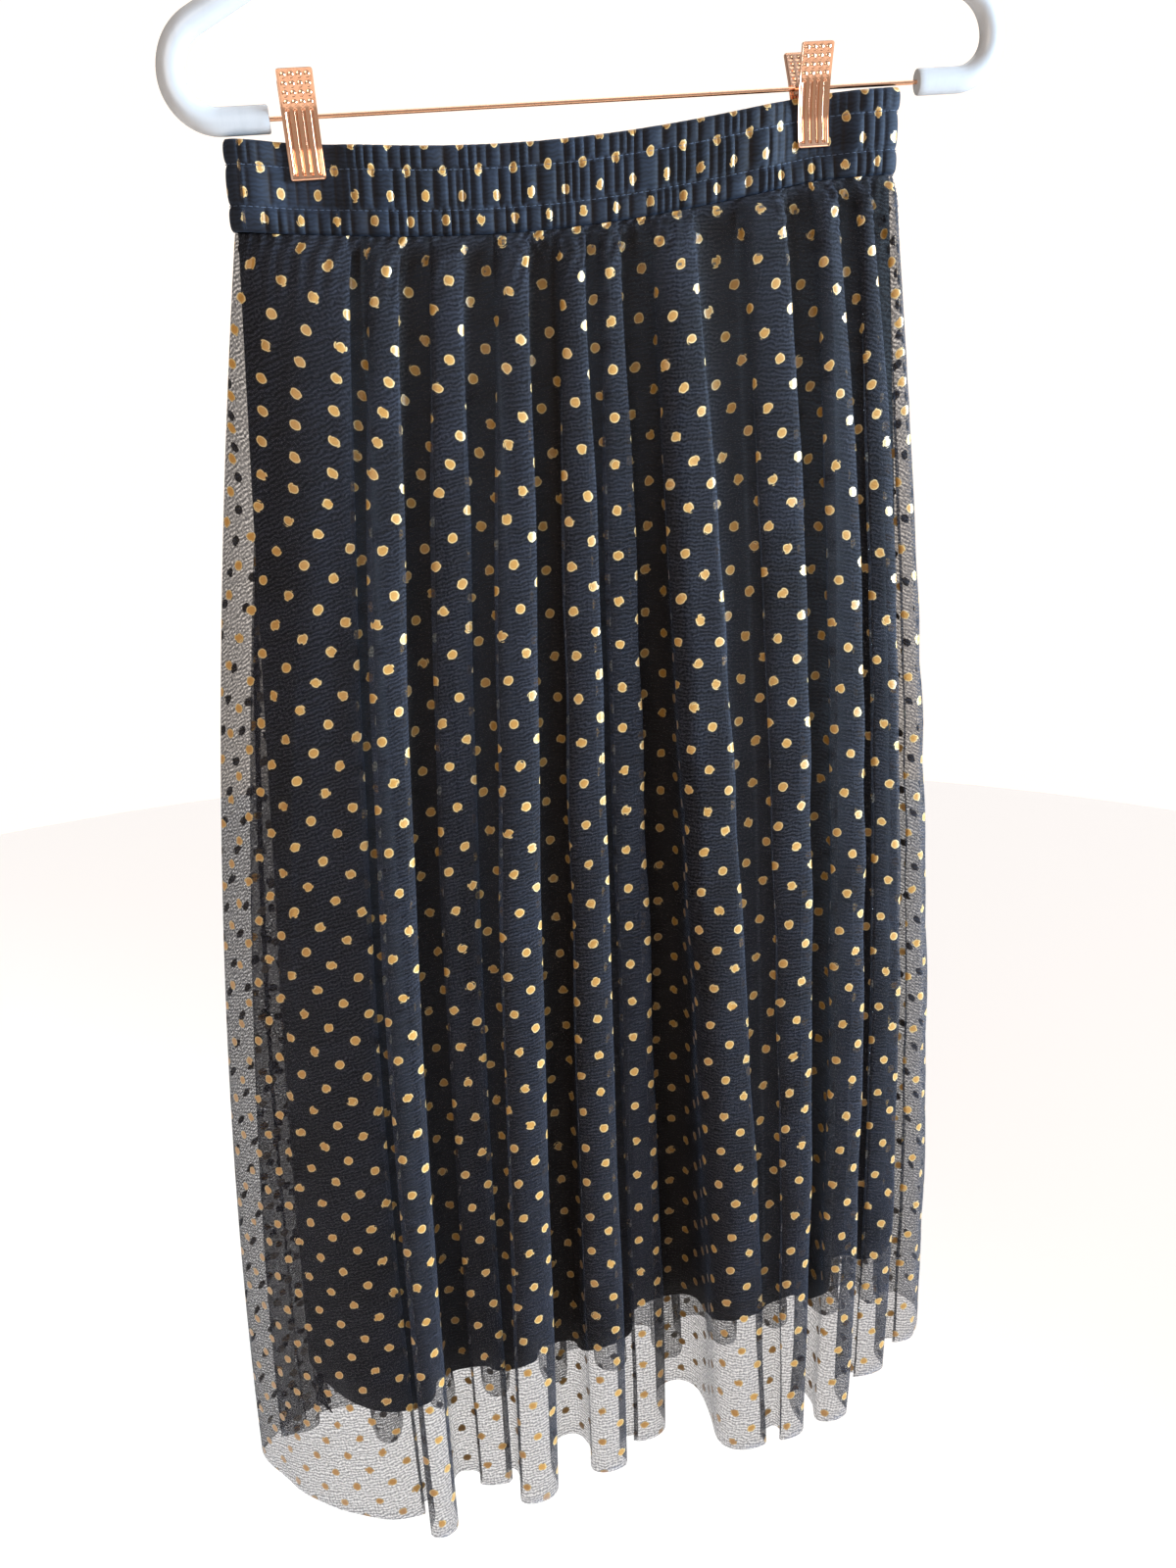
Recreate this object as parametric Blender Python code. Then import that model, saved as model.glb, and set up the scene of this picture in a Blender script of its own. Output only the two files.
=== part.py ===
"""Gathered net maxi skirt over a lining, held by the two clips of a hanger.

Metres, +Z up, +X to the right as the front is seen, +Y away from the viewer. The
origin is the inside top of the hanger's hook, where a rail holds it. The hanger
hangs a little out of level, and the cloth falls straight down from it.
"""
import math
from typing import Callable, NamedTuple

import bmesh
import bpy
from mathutils import Matrix, Vector

MM = 0.001
GAP = 0.3 * MM
SHARP_ANGLE = math.radians(40)

# Hanger
HANGER_TILT = math.radians(3.76)
HOOK_TO_BAR = 210 * MM
BAR_SPAN = 335 * MM
BAR_RADIUS = 1.1 * MM
BAR_IN_SOCKET = 12 * MM
TUBE_HEIGHT = 13 * MM
TUBE_DEPTH = 10 * MM
CORNER_X = 190 * MM
CORNER_RADIUS = 20 * MM
SHOULDER_RADIUS = 26 * MM
ARM_SLOPE = math.radians(27)
CROWN_RADIUS = 34 * MM
TUBE_SIDES = 12
CORNER_STEPS = 6
SHOULDER_STEPS = 4
CROWN_STEPS = 3
BAR_SIDES = 10
HOOK_WIRE_RADIUS = 1.9 * MM
HOOK_RADIUS = 22 * MM
HOOK_START = math.radians(-60)
HOOK_END = math.radians(200)
HOOK_SIDES = 8
HOOK_TURN_STEPS = 4
HOOK_ARCH_STEPS = 15

# Clips, placed along the bar from its middle
CLIPS_X = {"left": -153 * MM, "right": 108 * MM}
CLIP_WIDTH = 17 * MM
PLATE = 1.0 * MM
EAR_HOLE_RADIUS = BAR_RADIUS + GAP
EAR_RADIUS = 2.5 * MM
EAR_FRONT_X = 6.8 * MM
EAR_BACK_X = 5.4 * MM
EAR_STEPS = 5
SPRING_RADIUS = 2.3 * MM
SPRING_LENGTH = 8.4 * MM
SPRING_SIDES = 12

# Waistband, measured from the middle of the bar
BAND_LEFT = -189 * MM
BAND_RIGHT = 156 * MM
BAND_TOP_LEFT = -20.2 * MM
BAND_RISE = 0.081
BAND_SAG = 12.0 * MM
BAND_SAG_SPAN = 300 * MM
BAND_HEIGHT = 41 * MM
BAND_HALF_DEPTH = 5.0 * MM
BAND_PINCHED = 0.6 * MM
BAND_WALL = 1.3 * MM
STITCH_ROWS = (11 * MM, 29.5 * MM)
RIB_HEIGHT = 1.1 * MM
RIB_AT_STITCHES = 0.45
RIB_LOST_UNDER_CLIP = 0.75
TUNNEL_PUFF = 0.9 * MM
RIB_COUNT = 116
PINCH_REACH = 19 * MM
PINCH_DROP = 27 * MM
PINCH_AT_SEAM = 0.2

# Cloth below the waist seam
WALL = 1.0 * MM
SEAM_WIDTH = 344 * MM
NET_LENGTH = 757 * MM
NET_HEM_WIDTH = 471 * MM
NET_LEFT_FLARE = 61.5 * MM
NET_LEFT_CURVE = 2.0
NET_RIGHT_CURVE = 1.65
NET_SEAT = 2.2 * MM
GATHER_DEPTH = 7 * MM
LINING_LENGTH = 688 * MM
LINING_INSET = 1.5 * MM
LINING_HEM_WIDTH = 412 * MM
LINING_LEFT_FLARE = 26 * MM
LINING_CURVE = 1.3
LINING_SEAT = 0.5 * MM
DEPTH_CURVE = 0.8
FOLD_ROUNDNESS = 0.9
SIDE_X_POWER = 0.95
SIDE_Y_POWER = 1.6

FRONT, BACK = -1, 1


class Fold(NamedTuple):
    """One crest or hollow of a panel, placed from the left side seam."""
    name: str
    at_seam: float
    at_hem: float
    depth_at_hem: float
    crest: bool


# Millimetres along the waist seam and the hem, and out from the side seams' plane
NET_FRONT_FOLDS = (
    Fold("wide panel", 50, 99, 73, True),
    Fold("hollow beside the panel", 59, 105, 62, False),
    Fold("foremost tube", 70, 113, 91, True),
    Fold("hollow", 88, 130, 44, False),
    Fold("flat fold", 103, 154, 60, True),
    Fold("hollow", 119, 162, 50, False),
    Fold("second tube", 137, 172, 81, True),
    Fold("recess", 151, 205, 32, False),
    Fold("centre tube", 169, 226, 70, True),
    Fold("crease", 177, 244, 46, False),
    Fold("small tube", 185, 253, 52, True),
    Fold("deep recess", 198, 284, 7, False),
    Fold("broad fold", 218, 318, 80, True),
    Fold("crease", 243, 335, 69, False),
    Fold("third tube", 270, 344, 86, True),
    Fold("hollow", 288, 359, 52, False),
    Fold("fourth tube", 303, 372, 84, True),
    Fold("hollow", 314, 396, 48, False),
    Fold("side fold", 323, 410, 54, True),
    Fold("hollow", 331, 436, 26, False),
    Fold("last fold", 338, 449, 31, True),
)
NET_BACK_FOLDS = (
    Fold("doubled fold", 14, 46, 32, True),
    Fold("tuck under it", 15, 12, 10, False),
    Fold("fold", 27, 64, 28, True),
    Fold("forward hollow", 42, 84, -11, False),
    Fold("fold", 55, 105, 40, True),
    Fold("hollow", 66, 123, 11, False),
    Fold("fold", 82, 143, 48, True),
    Fold("hollow", 96, 163, 14, False),
    Fold("fold", 112, 184, 52, True),
    Fold("hollow", 128, 206, 16, False),
    Fold("fold", 141, 224, 44, True),
    Fold("hollow", 157, 248, 15, False),
    Fold("fold", 172, 270, 54, True),
    Fold("hollow", 188, 291, 14, False),
    Fold("fold", 204, 311, 50, True),
    Fold("hollow", 218, 333, 13, False),
    Fold("fold", 233, 352, 46, True),
    Fold("hollow", 247, 371, 15, False),
    Fold("fold", 262, 392, 48, True),
    Fold("hollow", 279, 411, 12, False),
    Fold("fold", 294, 430, 36, True),
    Fold("hollow", 308, 443, 11, False),
    Fold("fold", 324, 456, 20, True),
)
LINING_FRONT_FOLDS = (
    Fold("wave", 38, 58, 56, True),
    Fold("hollow", 78, 101, 28, False),
    Fold("wave", 108, 133, 36, True),
    Fold("hollow", 143, 165, 21, False),
    Fold("wave", 168, 187, 36, True),
    Fold("hollow", 203, 243, 3, False),
    Fold("wave", 238, 287, 42, True),
    Fold("hollow", 268, 317, 36, False),
    Fold("wave", 295, 336, 46, True),
    Fold("hollow", 318, 365, 14, False),
    Fold("wave", 330, 387, 22, True),
)
LINING_BACK_FOLDS = (
    Fold("turn", 8, 6, 3, True),
    Fold("forward tuck", 32, 40, -28, False),
    Fold("wave", 74, 86, 3, True),
    Fold("hollow", 108, 126, -6, False),
    Fold("wave", 150, 168, 6, True),
    Fold("hollow", 190, 205, 1, False),
    Fold("wave", 230, 255, 6, True),
    Fold("hollow", 268, 300, -4, False),
    Fold("wave", 300, 350, 3, True),
)

NET_LEVELS = (0.0, 0.04, 0.12, 0.25, 0.4, 0.55, 0.7, 0.85, 1.0)
LINING_LEVELS = (0.0, 0.08, 0.3, 0.6, 1.0)
NET_STEPS = 4
LINING_STEPS = 3

Plan = list[tuple[float, float]]
BAR_MIDDLE = Vector((HOOK_TO_BAR * math.sin(HANGER_TILT), 0, -HOOK_TO_BAR * math.cos(HANGER_TILT)))
HANGER_FRAME = Matrix.Translation(BAR_MIDDLE) @ Matrix.Rotation(-HANGER_TILT, 4, "Y")


def clear_scene() -> None:
    """Remove every object that the file opened with."""
    for old in list(bpy.data.objects):
        bpy.data.objects.remove(old)


def finish(name: str, colour: tuple, roughness: float, metallic: float = 0.0) -> bpy.types.Material:
    """Make a plain Principled material."""
    material = bpy.data.materials.new(name)
    material.use_nodes = True
    shader = material.node_tree.nodes["Principled BSDF"]
    shader.inputs["Base Color"].default_value = (*colour, 1)
    shader.inputs["Roughness"].default_value = roughness
    shader.inputs["Metallic"].default_value = metallic
    return material


def add_object(name: str, bm: bmesh.types.BMesh, material: bpy.types.Material,
               place: Matrix = Matrix.Identity(4)) -> bpy.types.Object:
    """Turn a bmesh into an object with outward faces."""
    bmesh.ops.recalc_face_normals(bm, faces=bm.faces)
    mesh = bpy.data.meshes.new(name)
    bm.to_mesh(mesh)
    bm.free()
    mesh.materials.append(material)
    mesh.shade_smooth()
    mesh.set_sharp_from_angle(angle=SHARP_ANGLE)
    thing = bpy.data.objects.new(name, mesh)
    thing.matrix_world = place
    bpy.context.collection.objects.link(thing)
    return thing


def mix(a: float, b: float, t: float) -> float:
    """Blend from a to b."""
    return a + (b - a) * t


# Waist

def band_top(x: float) -> float:
    """Height of the waistband's top edge, which sags between the clips."""
    along = min(max((x - BAND_LEFT) / BAND_SAG_SPAN, 0), 1)
    return BAND_TOP_LEFT + BAND_RISE * (x - BAND_LEFT) - BAND_SAG * math.sin(math.pi * along)


def waist_seam(x: float) -> float:
    """Height of the seam between waistband and skirt."""
    return band_top(x) - BAND_HEIGHT


def pinch(x: float, drop: float) -> float:
    """How far a clip presses the band flat, 0 to 1, at a depth below its top edge."""
    below = max(drop - PINCH_DROP, 0) / (BAND_HEIGHT - PINCH_DROP)
    fade = mix(1, PINCH_AT_SEAM, below)
    near = max(math.exp(-((x - clip_x) / PINCH_REACH) ** 4) for clip_x in CLIPS_X.values())
    return near * fade


def half_depth(x: float, drop: float) -> float:
    """Half the room inside the band, away from its two ends."""
    return mix(BAND_HALF_DEPTH, BAND_PINCHED, pinch(x, drop))


def band_loop(distance: float) -> tuple[Vector, Vector]:
    """Point and outward normal on the band's plain inside, before it is pinched."""
    radius = BAND_HALF_DEPTH
    straight = BAND_RIGHT - BAND_LEFT - 2 * (radius + BAND_WALL)
    left, right = BAND_LEFT + radius + BAND_WALL, BAND_RIGHT - radius - BAND_WALL
    if distance < straight:
        return Vector((left + distance, -radius)), Vector((0, -1))
    distance -= straight
    if distance < math.pi * radius:
        turn = Vector((math.sin(distance / radius), -math.cos(distance / radius)))
        return Vector((right, 0)) + turn * radius, turn
    distance -= math.pi * radius
    if distance < straight:
        return Vector((right - distance, radius)), Vector((0, 1))
    turn_angle = (distance - straight) / radius
    turn = Vector((-math.sin(turn_angle), math.cos(turn_angle)))
    return Vector((left, 0)) + turn * radius, turn


def band_point(distance: float, drop: float, proud: float) -> Vector:
    """Point on the band, `proud` metres outside its plain inside."""
    inside, outward = band_loop(distance)
    inside.y *= half_depth(inside.x, drop) / BAND_HALF_DEPTH
    spot = inside + outward * proud
    return BAR_MIDDLE + Vector((spot.x, spot.y, band_top(inside.x) - drop))


def make_waistband(cloth: bpy.types.Material) -> bpy.types.Object:
    """One ring of three elastic tunnels, ribbed outside and plain inside."""
    straight = BAND_RIGHT - BAND_LEFT - 2 * (BAND_HALF_DEPTH + BAND_WALL)
    loop_length = 2 * straight + 2 * math.pi * BAND_HALF_DEPTH
    edges = (0.0, *STITCH_ROWS, BAND_HEIGHT)
    drops = [(edges[0], 0.0)]
    for upper, lower in zip(edges, edges[1:]):
        drops += [((upper + lower) / 2, 1.0), (lower, 0.0)]
    inner_drops = (0.0, PINCH_DROP, BAND_HEIGHT)
    bm = bmesh.new()
    outer, inner = [], []
    for drop, puff in drops:
        ring = []
        for k in range(2 * RIB_COUNT):
            distance = loop_length * k / (2 * RIB_COUNT)
            free = 1 - RIB_LOST_UNDER_CLIP * pinch(band_loop(distance)[0].x, drop)
            rib = RIB_HEIGHT * (k % 2) * mix(RIB_AT_STITCHES, 1.0, puff)
            proud = BAND_WALL + free * (rib + TUNNEL_PUFF * puff)
            ring.append(bm.verts.new(band_point(distance, drop, proud)))
        outer.append(ring)
    for drop in inner_drops:
        spots = [band_point(loop_length * k / RIB_COUNT, drop, 0) for k in range(RIB_COUNT)]
        inner.append([bm.verts.new(spot) for spot in spots])
    for rings in (outer, inner):
        for upper, lower in zip(rings, rings[1:]):
            for k in range(len(upper)):
                bm.faces.new((upper[k - 1], upper[k], lower[k], lower[k - 1]))
    for ribbed, plain in ((outer[0], inner[0]), (outer[-1], inner[-1])):
        for k in range(RIB_COUNT):
            after = (k + 1) % RIB_COUNT
            crest = ribbed[2 * k + 1]
            bm.faces.new((ribbed[2 * k], crest, plain[k]))
            bm.faces.new((crest, ribbed[2 * after], plain[after], plain[k]))
    return add_object("waistband", bm, cloth)


# Panels of net and lining

class Panel(NamedTuple):
    """Half of the skirt below the waist seam, front or back."""
    name: str
    side: int
    folds: tuple
    length: float
    left: Callable[[float], float]
    right: Callable[[float], float]
    seam_width: float
    hem_width: float
    seat: float
    gather: float
    levels: tuple
    steps: int


def flare(fall: float, curve: float) -> float:
    """Share of the flare reached at a fall of 0 at the seam to 1 at the hem."""
    return 1 - (1 - fall) ** curve


def net_left(fall: float) -> float:
    """Left side seam of the net, leaving room for half the wall."""
    return BAND_LEFT + WALL / 2 - NET_LEFT_FLARE * flare(fall, NET_LEFT_CURVE)


def net_right(fall: float) -> float:
    """Right side seam of the net."""
    swing = NET_HEM_WIDTH - SEAM_WIDTH - NET_LEFT_FLARE
    return BAND_LEFT + WALL / 2 + SEAM_WIDTH + swing * flare(fall, NET_RIGHT_CURVE)


def lining_left(fall: float) -> float:
    """Left side seam of the lining."""
    return net_left(0) + LINING_INSET - LINING_LEFT_FLARE * flare(fall, LINING_CURVE)


def lining_right(fall: float) -> float:
    """Right side seam of the lining."""
    swing = LINING_HEM_WIDTH - SEAM_WIDTH + 2 * LINING_INSET - LINING_LEFT_FLARE
    return net_right(0) - LINING_INSET + swing * flare(fall, LINING_CURVE)


def knots(panel: Panel, fall: float) -> Plan:
    """The panel's crests and hollows seen from above, at one fall."""
    left, right = panel.left(fall), panel.right(fall)
    deep = fall ** DEPTH_CURVE
    points = [(left, GAP / 2)]
    for fold in panel.folds:
        share = mix(fold.at_seam * MM / panel.seam_width, fold.at_hem * MM / panel.hem_width, fall)
        seam_x = panel.left(0) + fold.at_seam * MM
        at_seam = half_depth(seam_x, BAND_HEIGHT) + panel.seat + panel.gather * fold.crest
        points.append((mix(left, right, share), mix(at_seam, fold.depth_at_hem * MM, deep)))
    points.append((right, GAP / 2))
    return points


def plan_line(panel: Panel, fall: float) -> Plan:
    """The panel's middle line seen from above: round crests, steep sides, square side seams."""
    points = knots(panel, fall)
    last = len(points) - 2
    line = [points[0]]
    for index, ((x0, y0), (x1, y1)) in enumerate(zip(points, points[1:])):
        for step in range(1, panel.steps + 1):
            t = step / panel.steps
            if index == 0:
                u = (1 - math.cos(math.pi / 2 * t)) ** SIDE_X_POWER
                v = math.sin(math.pi / 2 * t) ** SIDE_Y_POWER
            elif index == last:
                u = 1 - (1 - math.sin(math.pi / 2 * t)) ** SIDE_X_POWER
                v = 1 - math.cos(math.pi / 2 * t) ** SIDE_Y_POWER
            else:
                u = t + FOLD_ROUNDNESS * math.sin(2 * math.pi * t) / (2 * math.pi)
                v = (1 - math.cos(math.pi * t)) / 2
            line.append((mix(x0, x1, u), mix(y0, y1, v)))
    return line


def outward_normals(line: Plan) -> list[Vector]:
    """Plan normals away from the wearer, square to the side seams at both ends."""
    normals = [Vector((-1, 0))]
    for before, after in zip(line, line[2:]):
        along = Vector((after[0] - before[0], after[1] - before[1])).normalized()
        normals.append(Vector((-along.y, along.x)))
    normals.append(Vector((1, 0)))
    return normals


def make_panel(panel: Panel, cloth: bpy.types.Material) -> bpy.types.Object:
    """Build one panel as a wall that follows its plan line down from the seam."""
    seam_heights = [waist_seam(x) - GAP for x, _ in plan_line(panel, 0)]
    bm = bmesh.new()
    outer, inner = [], []
    for fall in panel.levels:
        line = plan_line(panel, fall)
        rows = ([], [])
        for (x, y), normal, top in zip(line, outward_normals(line), seam_heights):
            for row, shift in zip(rows, (WALL / 2, -WALL / 2)):
                out = panel.side * (y + normal.y * shift)
                spot = Vector((x + normal.x * shift, out, top - fall * panel.length))
                row.append(bm.verts.new(BAR_MIDDLE + spot))
        outer.append(rows[0])
        inner.append(rows[1])
    count = len(outer[0])
    for wall in (outer, inner):
        for upper, lower in zip(wall, wall[1:]):
            for k in range(count - 1):
                bm.faces.new((upper[k], upper[k + 1], lower[k + 1], lower[k]))
    for k in range(count - 1):
        for level in (0, -1):
            bm.faces.new((outer[level][k], outer[level][k + 1], inner[level][k + 1], inner[level][k]))
    for level in range(len(panel.levels) - 1):
        for end in (0, -1):
            bm.faces.new((outer[level][end], outer[level + 1][end], inner[level + 1][end], inner[level][end]))
    return add_object(panel.name, bm, cloth)


def net_panel(name: str, side: int, folds: tuple) -> Panel:
    """Sizes shared by the two panels of dotted net."""
    return Panel(name, side, folds, NET_LENGTH, net_left, net_right, SEAM_WIDTH, NET_HEM_WIDTH,
                 NET_SEAT, GATHER_DEPTH, NET_LEVELS, NET_STEPS)


def lining_panel(name: str, side: int, folds: tuple) -> Panel:
    """Sizes shared by the two panels of lining, which has no gathers."""
    return Panel(name, side, folds, LINING_LENGTH, lining_left, lining_right,
                 SEAM_WIDTH - 2 * LINING_INSET, LINING_HEM_WIDTH,
                 LINING_SEAT, 0.0, LINING_LEVELS, LINING_STEPS)


# Hanger, in its own frame with the middle of the bar at zero

def arc(centre: Vector, radius: float, start: float, end: float, steps: int) -> list[Vector]:
    """Points of an arc in the XZ plane, both ends included."""
    angles = [mix(start, end, k / steps) for k in range(steps + 1)]
    return [centre + Vector((math.cos(a), 0, math.sin(a))) * radius for a in angles]


def sweep(bm: bmesh.types.BMesh, path: list[Vector],
          half_width: float, half_depth_y: float, sides: int) -> None:
    """Sweep an ellipse along a path in the XZ plane and cap both ends."""
    rings = []
    for index, point in enumerate(path):
        before, after = path[max(index - 1, 0)], path[min(index + 1, len(path) - 1)]
        along = (after - before).normalized()
        across = Vector((along.z, 0, -along.x))
        ring = []
        for k in range(sides):
            turn = 2 * math.pi * (k + 0.5) / sides
            offset = across * (half_width * math.cos(turn)) + Vector((0, half_depth_y * math.sin(turn), 0))
            ring.append(bm.verts.new(point + offset))
        rings.append(ring)
    for upper, lower in zip(rings, rings[1:]):
        for k in range(sides):
            bm.faces.new((upper[k - 1], upper[k], lower[k], lower[k - 1]))
    bm.faces.new(rings[0])
    bm.faces.new(rings[-1])


def crown() -> tuple[float, Vector]:
    """Height of the tube's middle line at the neck, and the centre of the neck's bend."""
    shoulder = Vector((CORNER_X + CORNER_RADIUS - SHOULDER_RADIUS, 0, CORNER_RADIUS))
    turn = math.pi / 2 - ARM_SLOPE
    arm_start = shoulder + Vector((math.cos(turn), 0, math.sin(turn))) * SHOULDER_RADIUS
    peak = arm_start.z + arm_start.x * math.tan(ARM_SLOPE)
    centre = Vector((0, 0, peak - CROWN_RADIUS / math.cos(ARM_SLOPE)))
    return centre.z + CROWN_RADIUS, centre


def make_hanger_frame(plastic: bpy.types.Material) -> bpy.types.Object:
    """One bent tube from the left socket over the shoulders to the right socket."""
    turn = math.pi / 2 - ARM_SLOPE
    half = [Vector((BAR_SPAN / 2, 0, 0))]
    half += arc(Vector((CORNER_X, 0, CORNER_RADIUS)), CORNER_RADIUS, -math.pi / 2, 0, CORNER_STEPS)
    half += arc(Vector((CORNER_X + CORNER_RADIUS - SHOULDER_RADIUS, 0, CORNER_RADIUS)),
                SHOULDER_RADIUS, 0, turn, SHOULDER_STEPS)[1:]
    half += arc(crown()[1], CROWN_RADIUS, turn, math.pi / 2, CROWN_STEPS)
    mirrored = [Vector((-p.x, 0, p.z)) for p in half[:-1]]
    bm = bmesh.new()
    sweep(bm, mirrored + half[::-1], TUBE_HEIGHT / 2, TUBE_DEPTH / 2, TUBE_SIDES)
    frame = add_object("hanger_frame", bm, plastic, HANGER_FRAME)
    add_socket_cutters(frame)
    return frame


def rod(bm: bmesh.types.BMesh, radius: float, length: float, sides: int, x: float = 0.0) -> None:
    """Add a closed cylinder along X, centred at x."""
    place = Matrix.Translation((x, 0, 0)) @ Matrix.Rotation(math.pi / 2, 4, "Y")
    bmesh.ops.create_cone(bm, cap_ends=True, segments=sides, radius1=radius, radius2=radius,
                          depth=length, matrix=place)


def cut(body: bpy.types.Object, tool: bpy.types.Object) -> None:
    """Subtract a hidden tool from a body."""
    tool.hide_render = True
    tool.display_type = "WIRE"
    boolean = body.modifiers.new(tool.name, "BOOLEAN")
    boolean.operation = "DIFFERENCE"
    boolean.object = tool


def add_socket_cutters(frame: bpy.types.Object) -> None:
    """Cut the two blind sockets that take the bar's ends, and the neck's socket for the hook."""
    for side, sign in (("left", -1), ("right", 1)):
        bm = bmesh.new()
        rod(bm, BAR_RADIUS + GAP, 2 * (BAR_IN_SOCKET + GAP), BAR_SIDES, sign * BAR_SPAN / 2)
        cut(frame, add_object(f"{side}_socket_cutter", bm, frame.data.materials[0], HANGER_FRAME))
    bm = bmesh.new()
    top = Vector((0, 0, crown()[0] + TUBE_HEIGHT))
    sweep(bm, [Vector((0, 0, crown()[0])), top], HOOK_WIRE_RADIUS + GAP, HOOK_WIRE_RADIUS + GAP, HOOK_SIDES)
    cut(frame, add_object("neck_socket_cutter", bm, frame.data.materials[0], HANGER_FRAME))


def make_bar(metal: bpy.types.Material) -> bpy.types.Object:
    """The thin rod that the clips slide on."""
    bm = bmesh.new()
    rod(bm, BAR_RADIUS, BAR_SPAN + 2 * BAR_IN_SOCKET, BAR_SIDES)
    return add_object("hanger_bar", bm, metal, HANGER_FRAME)


def make_hook(metal: bpy.types.Material) -> bpy.types.Object:
    """Bent wire: stem, a turn to the right, and the arch that rests on a rail."""
    centre = Vector((0, 0, HOOK_TO_BAR + HOOK_WIRE_RADIUS - HOOK_RADIUS))
    low = math.sin(HOOK_START) * HOOK_RADIUS
    turn_centre = centre + Vector((HOOK_RADIUS * 2 * math.cos(HOOK_START), 0, 2 * low))
    stem = [Vector((0, 0, crown()[0] + GAP))]
    reverse = arc(turn_centre, HOOK_RADIUS, math.pi, math.pi + HOOK_START, HOOK_TURN_STEPS)
    arch = arc(centre, HOOK_RADIUS, HOOK_START, HOOK_END, HOOK_ARCH_STEPS)
    bm = bmesh.new()
    sweep(bm, stem + reverse + arch[1:], HOOK_WIRE_RADIUS, HOOK_WIRE_RADIUS, HOOK_SIDES)
    return add_object("hanger_hook", bm, metal, HANGER_FRAME)


# Clips

class JawBend(NamedTuple):
    """One bend of a jaw's plate: its inner face away from the bar, and its height."""
    away: float
    height: float


# Millimetres; the last two bends are the bite on the waistband and the turned-out lip
JAW = (
    JawBend(13.0, 19.2),
    JawBend(7.2, 4.5),
    JawBend(5.0, -4.0),
    JawBend(3.0, -14.0),
    JawBend(3.0, -26.5),
    JawBend(3.8, -28.7),
)


def jaw_face(height: float) -> float:
    """Distance of a jaw's inner face from the bar's middle at a height above it."""
    for upper, lower in zip(JAW, JAW[1:]):
        if height >= lower.height * MM:
            break
    share = (height / MM - lower.height) / (upper.height - lower.height)
    return mix(lower.away, upper.away, share) * MM


def make_jaw(name: str, clip_x: float, side: int, ear_x: float,
             metal: bpy.types.Material) -> bpy.types.Object:
    """A bent plate with two ears that the bar passes through."""
    bm = bmesh.new()
    rows = []
    for bend in JAW:
        rows.append([bm.verts.new((x, side * (bend.away * MM + out), bend.height * MM))
                     for x, out in ((-CLIP_WIDTH / 2, 0), (CLIP_WIDTH / 2, 0),
                                    (CLIP_WIDTH / 2, PLATE), (-CLIP_WIDTH / 2, PLATE))])
    for upper, lower in zip(rows, rows[1:]):
        for k in range(4):
            bm.faces.new((upper[k - 1], upper[k], lower[k], lower[k - 1]))
    bm.faces.new(rows[0])
    bm.faces.new(rows[-1])
    place = HANGER_FRAME @ Matrix.Translation((clip_x, 0, 0))
    jaw = add_object(name, bm, metal, place)
    for ear, sign in (("left", -1), ("right", 1)):
        ear_bm = bmesh.new()
        outline = arc(Vector(), EAR_RADIUS, math.radians(90), math.radians(-90), EAR_STEPS)
        shape = [(-side * p.x, p.z) for p in outline]
        shape += [(side * (jaw_face(z) + PLATE / 2), z) for z in (-EAR_RADIUS, EAR_RADIUS)]
        faces = [[ear_bm.verts.new((sign * ear_x + half, y, z)) for y, z in shape]
                 for half in (-PLATE / 2, PLATE / 2)]
        for k in range(len(shape)):
            ear_bm.faces.new((faces[0][k - 1], faces[0][k], faces[1][k], faces[1][k - 1]))
        ear_bm.faces.new(faces[0])
        ear_bm.faces.new(faces[1])
        tool = add_object(f"{name}_{ear}_ear", ear_bm, metal, place)
        tool.hide_render = True
        tool.display_type = "WIRE"
        union = jaw.modifiers.new(ear, "BOOLEAN")
        union.operation = "UNION"
        union.object = tool
    bore = bmesh.new()
    rod(bore, EAR_HOLE_RADIUS, 2 * CLIP_WIDTH, BAR_SIDES)
    cut(jaw, add_object(f"{name}_bore", bore, metal, place))
    return jaw


def make_spring(name: str, clip_x: float, metal: bpy.types.Material) -> bpy.types.Object:
    """The coil round the bar that presses the jaws shut, as a plain sleeve."""
    bm = bmesh.new()
    rod(bm, SPRING_RADIUS, SPRING_LENGTH, SPRING_SIDES)
    place = HANGER_FRAME @ Matrix.Translation((clip_x, 0, 0))
    spring = add_object(name, bm, metal, place)
    bore = bmesh.new()
    rod(bore, EAR_HOLE_RADIUS, 2 * SPRING_LENGTH, SPRING_SIDES)
    cut(spring, add_object(f"{name}_bore", bore, metal, place))
    return spring


def main() -> None:
    """Build the skirt and the hanger that holds it."""
    clear_scene()
    navy_net = finish("navy net", (0.02, 0.027, 0.043), 0.85)
    black_lining = finish("black lining", (0.012, 0.012, 0.014), 0.75)
    white_plastic = finish("white plastic", (0.74, 0.75, 0.78), 0.4)
    rose_gold = finish("rose gold metal", (0.86, 0.55, 0.42), 0.22, 1.0)
    make_waistband(navy_net)
    make_panel(net_panel("net_front", FRONT, NET_FRONT_FOLDS), navy_net)
    make_panel(net_panel("net_back", BACK, NET_BACK_FOLDS), navy_net)
    make_panel(lining_panel("lining_front", FRONT, LINING_FRONT_FOLDS), black_lining)
    make_panel(lining_panel("lining_back", BACK, LINING_BACK_FOLDS), black_lining)
    make_hanger_frame(white_plastic)
    make_bar(rose_gold)
    make_hook(rose_gold)
    for place, clip_x in CLIPS_X.items():
        make_jaw(f"{place}_clip_front_jaw", clip_x, FRONT, EAR_FRONT_X, rose_gold)
        make_jaw(f"{place}_clip_back_jaw", clip_x, BACK, EAR_BACK_X, rose_gold)
        make_spring(f"{place}_clip_spring", clip_x, rose_gold)


main()
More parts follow.
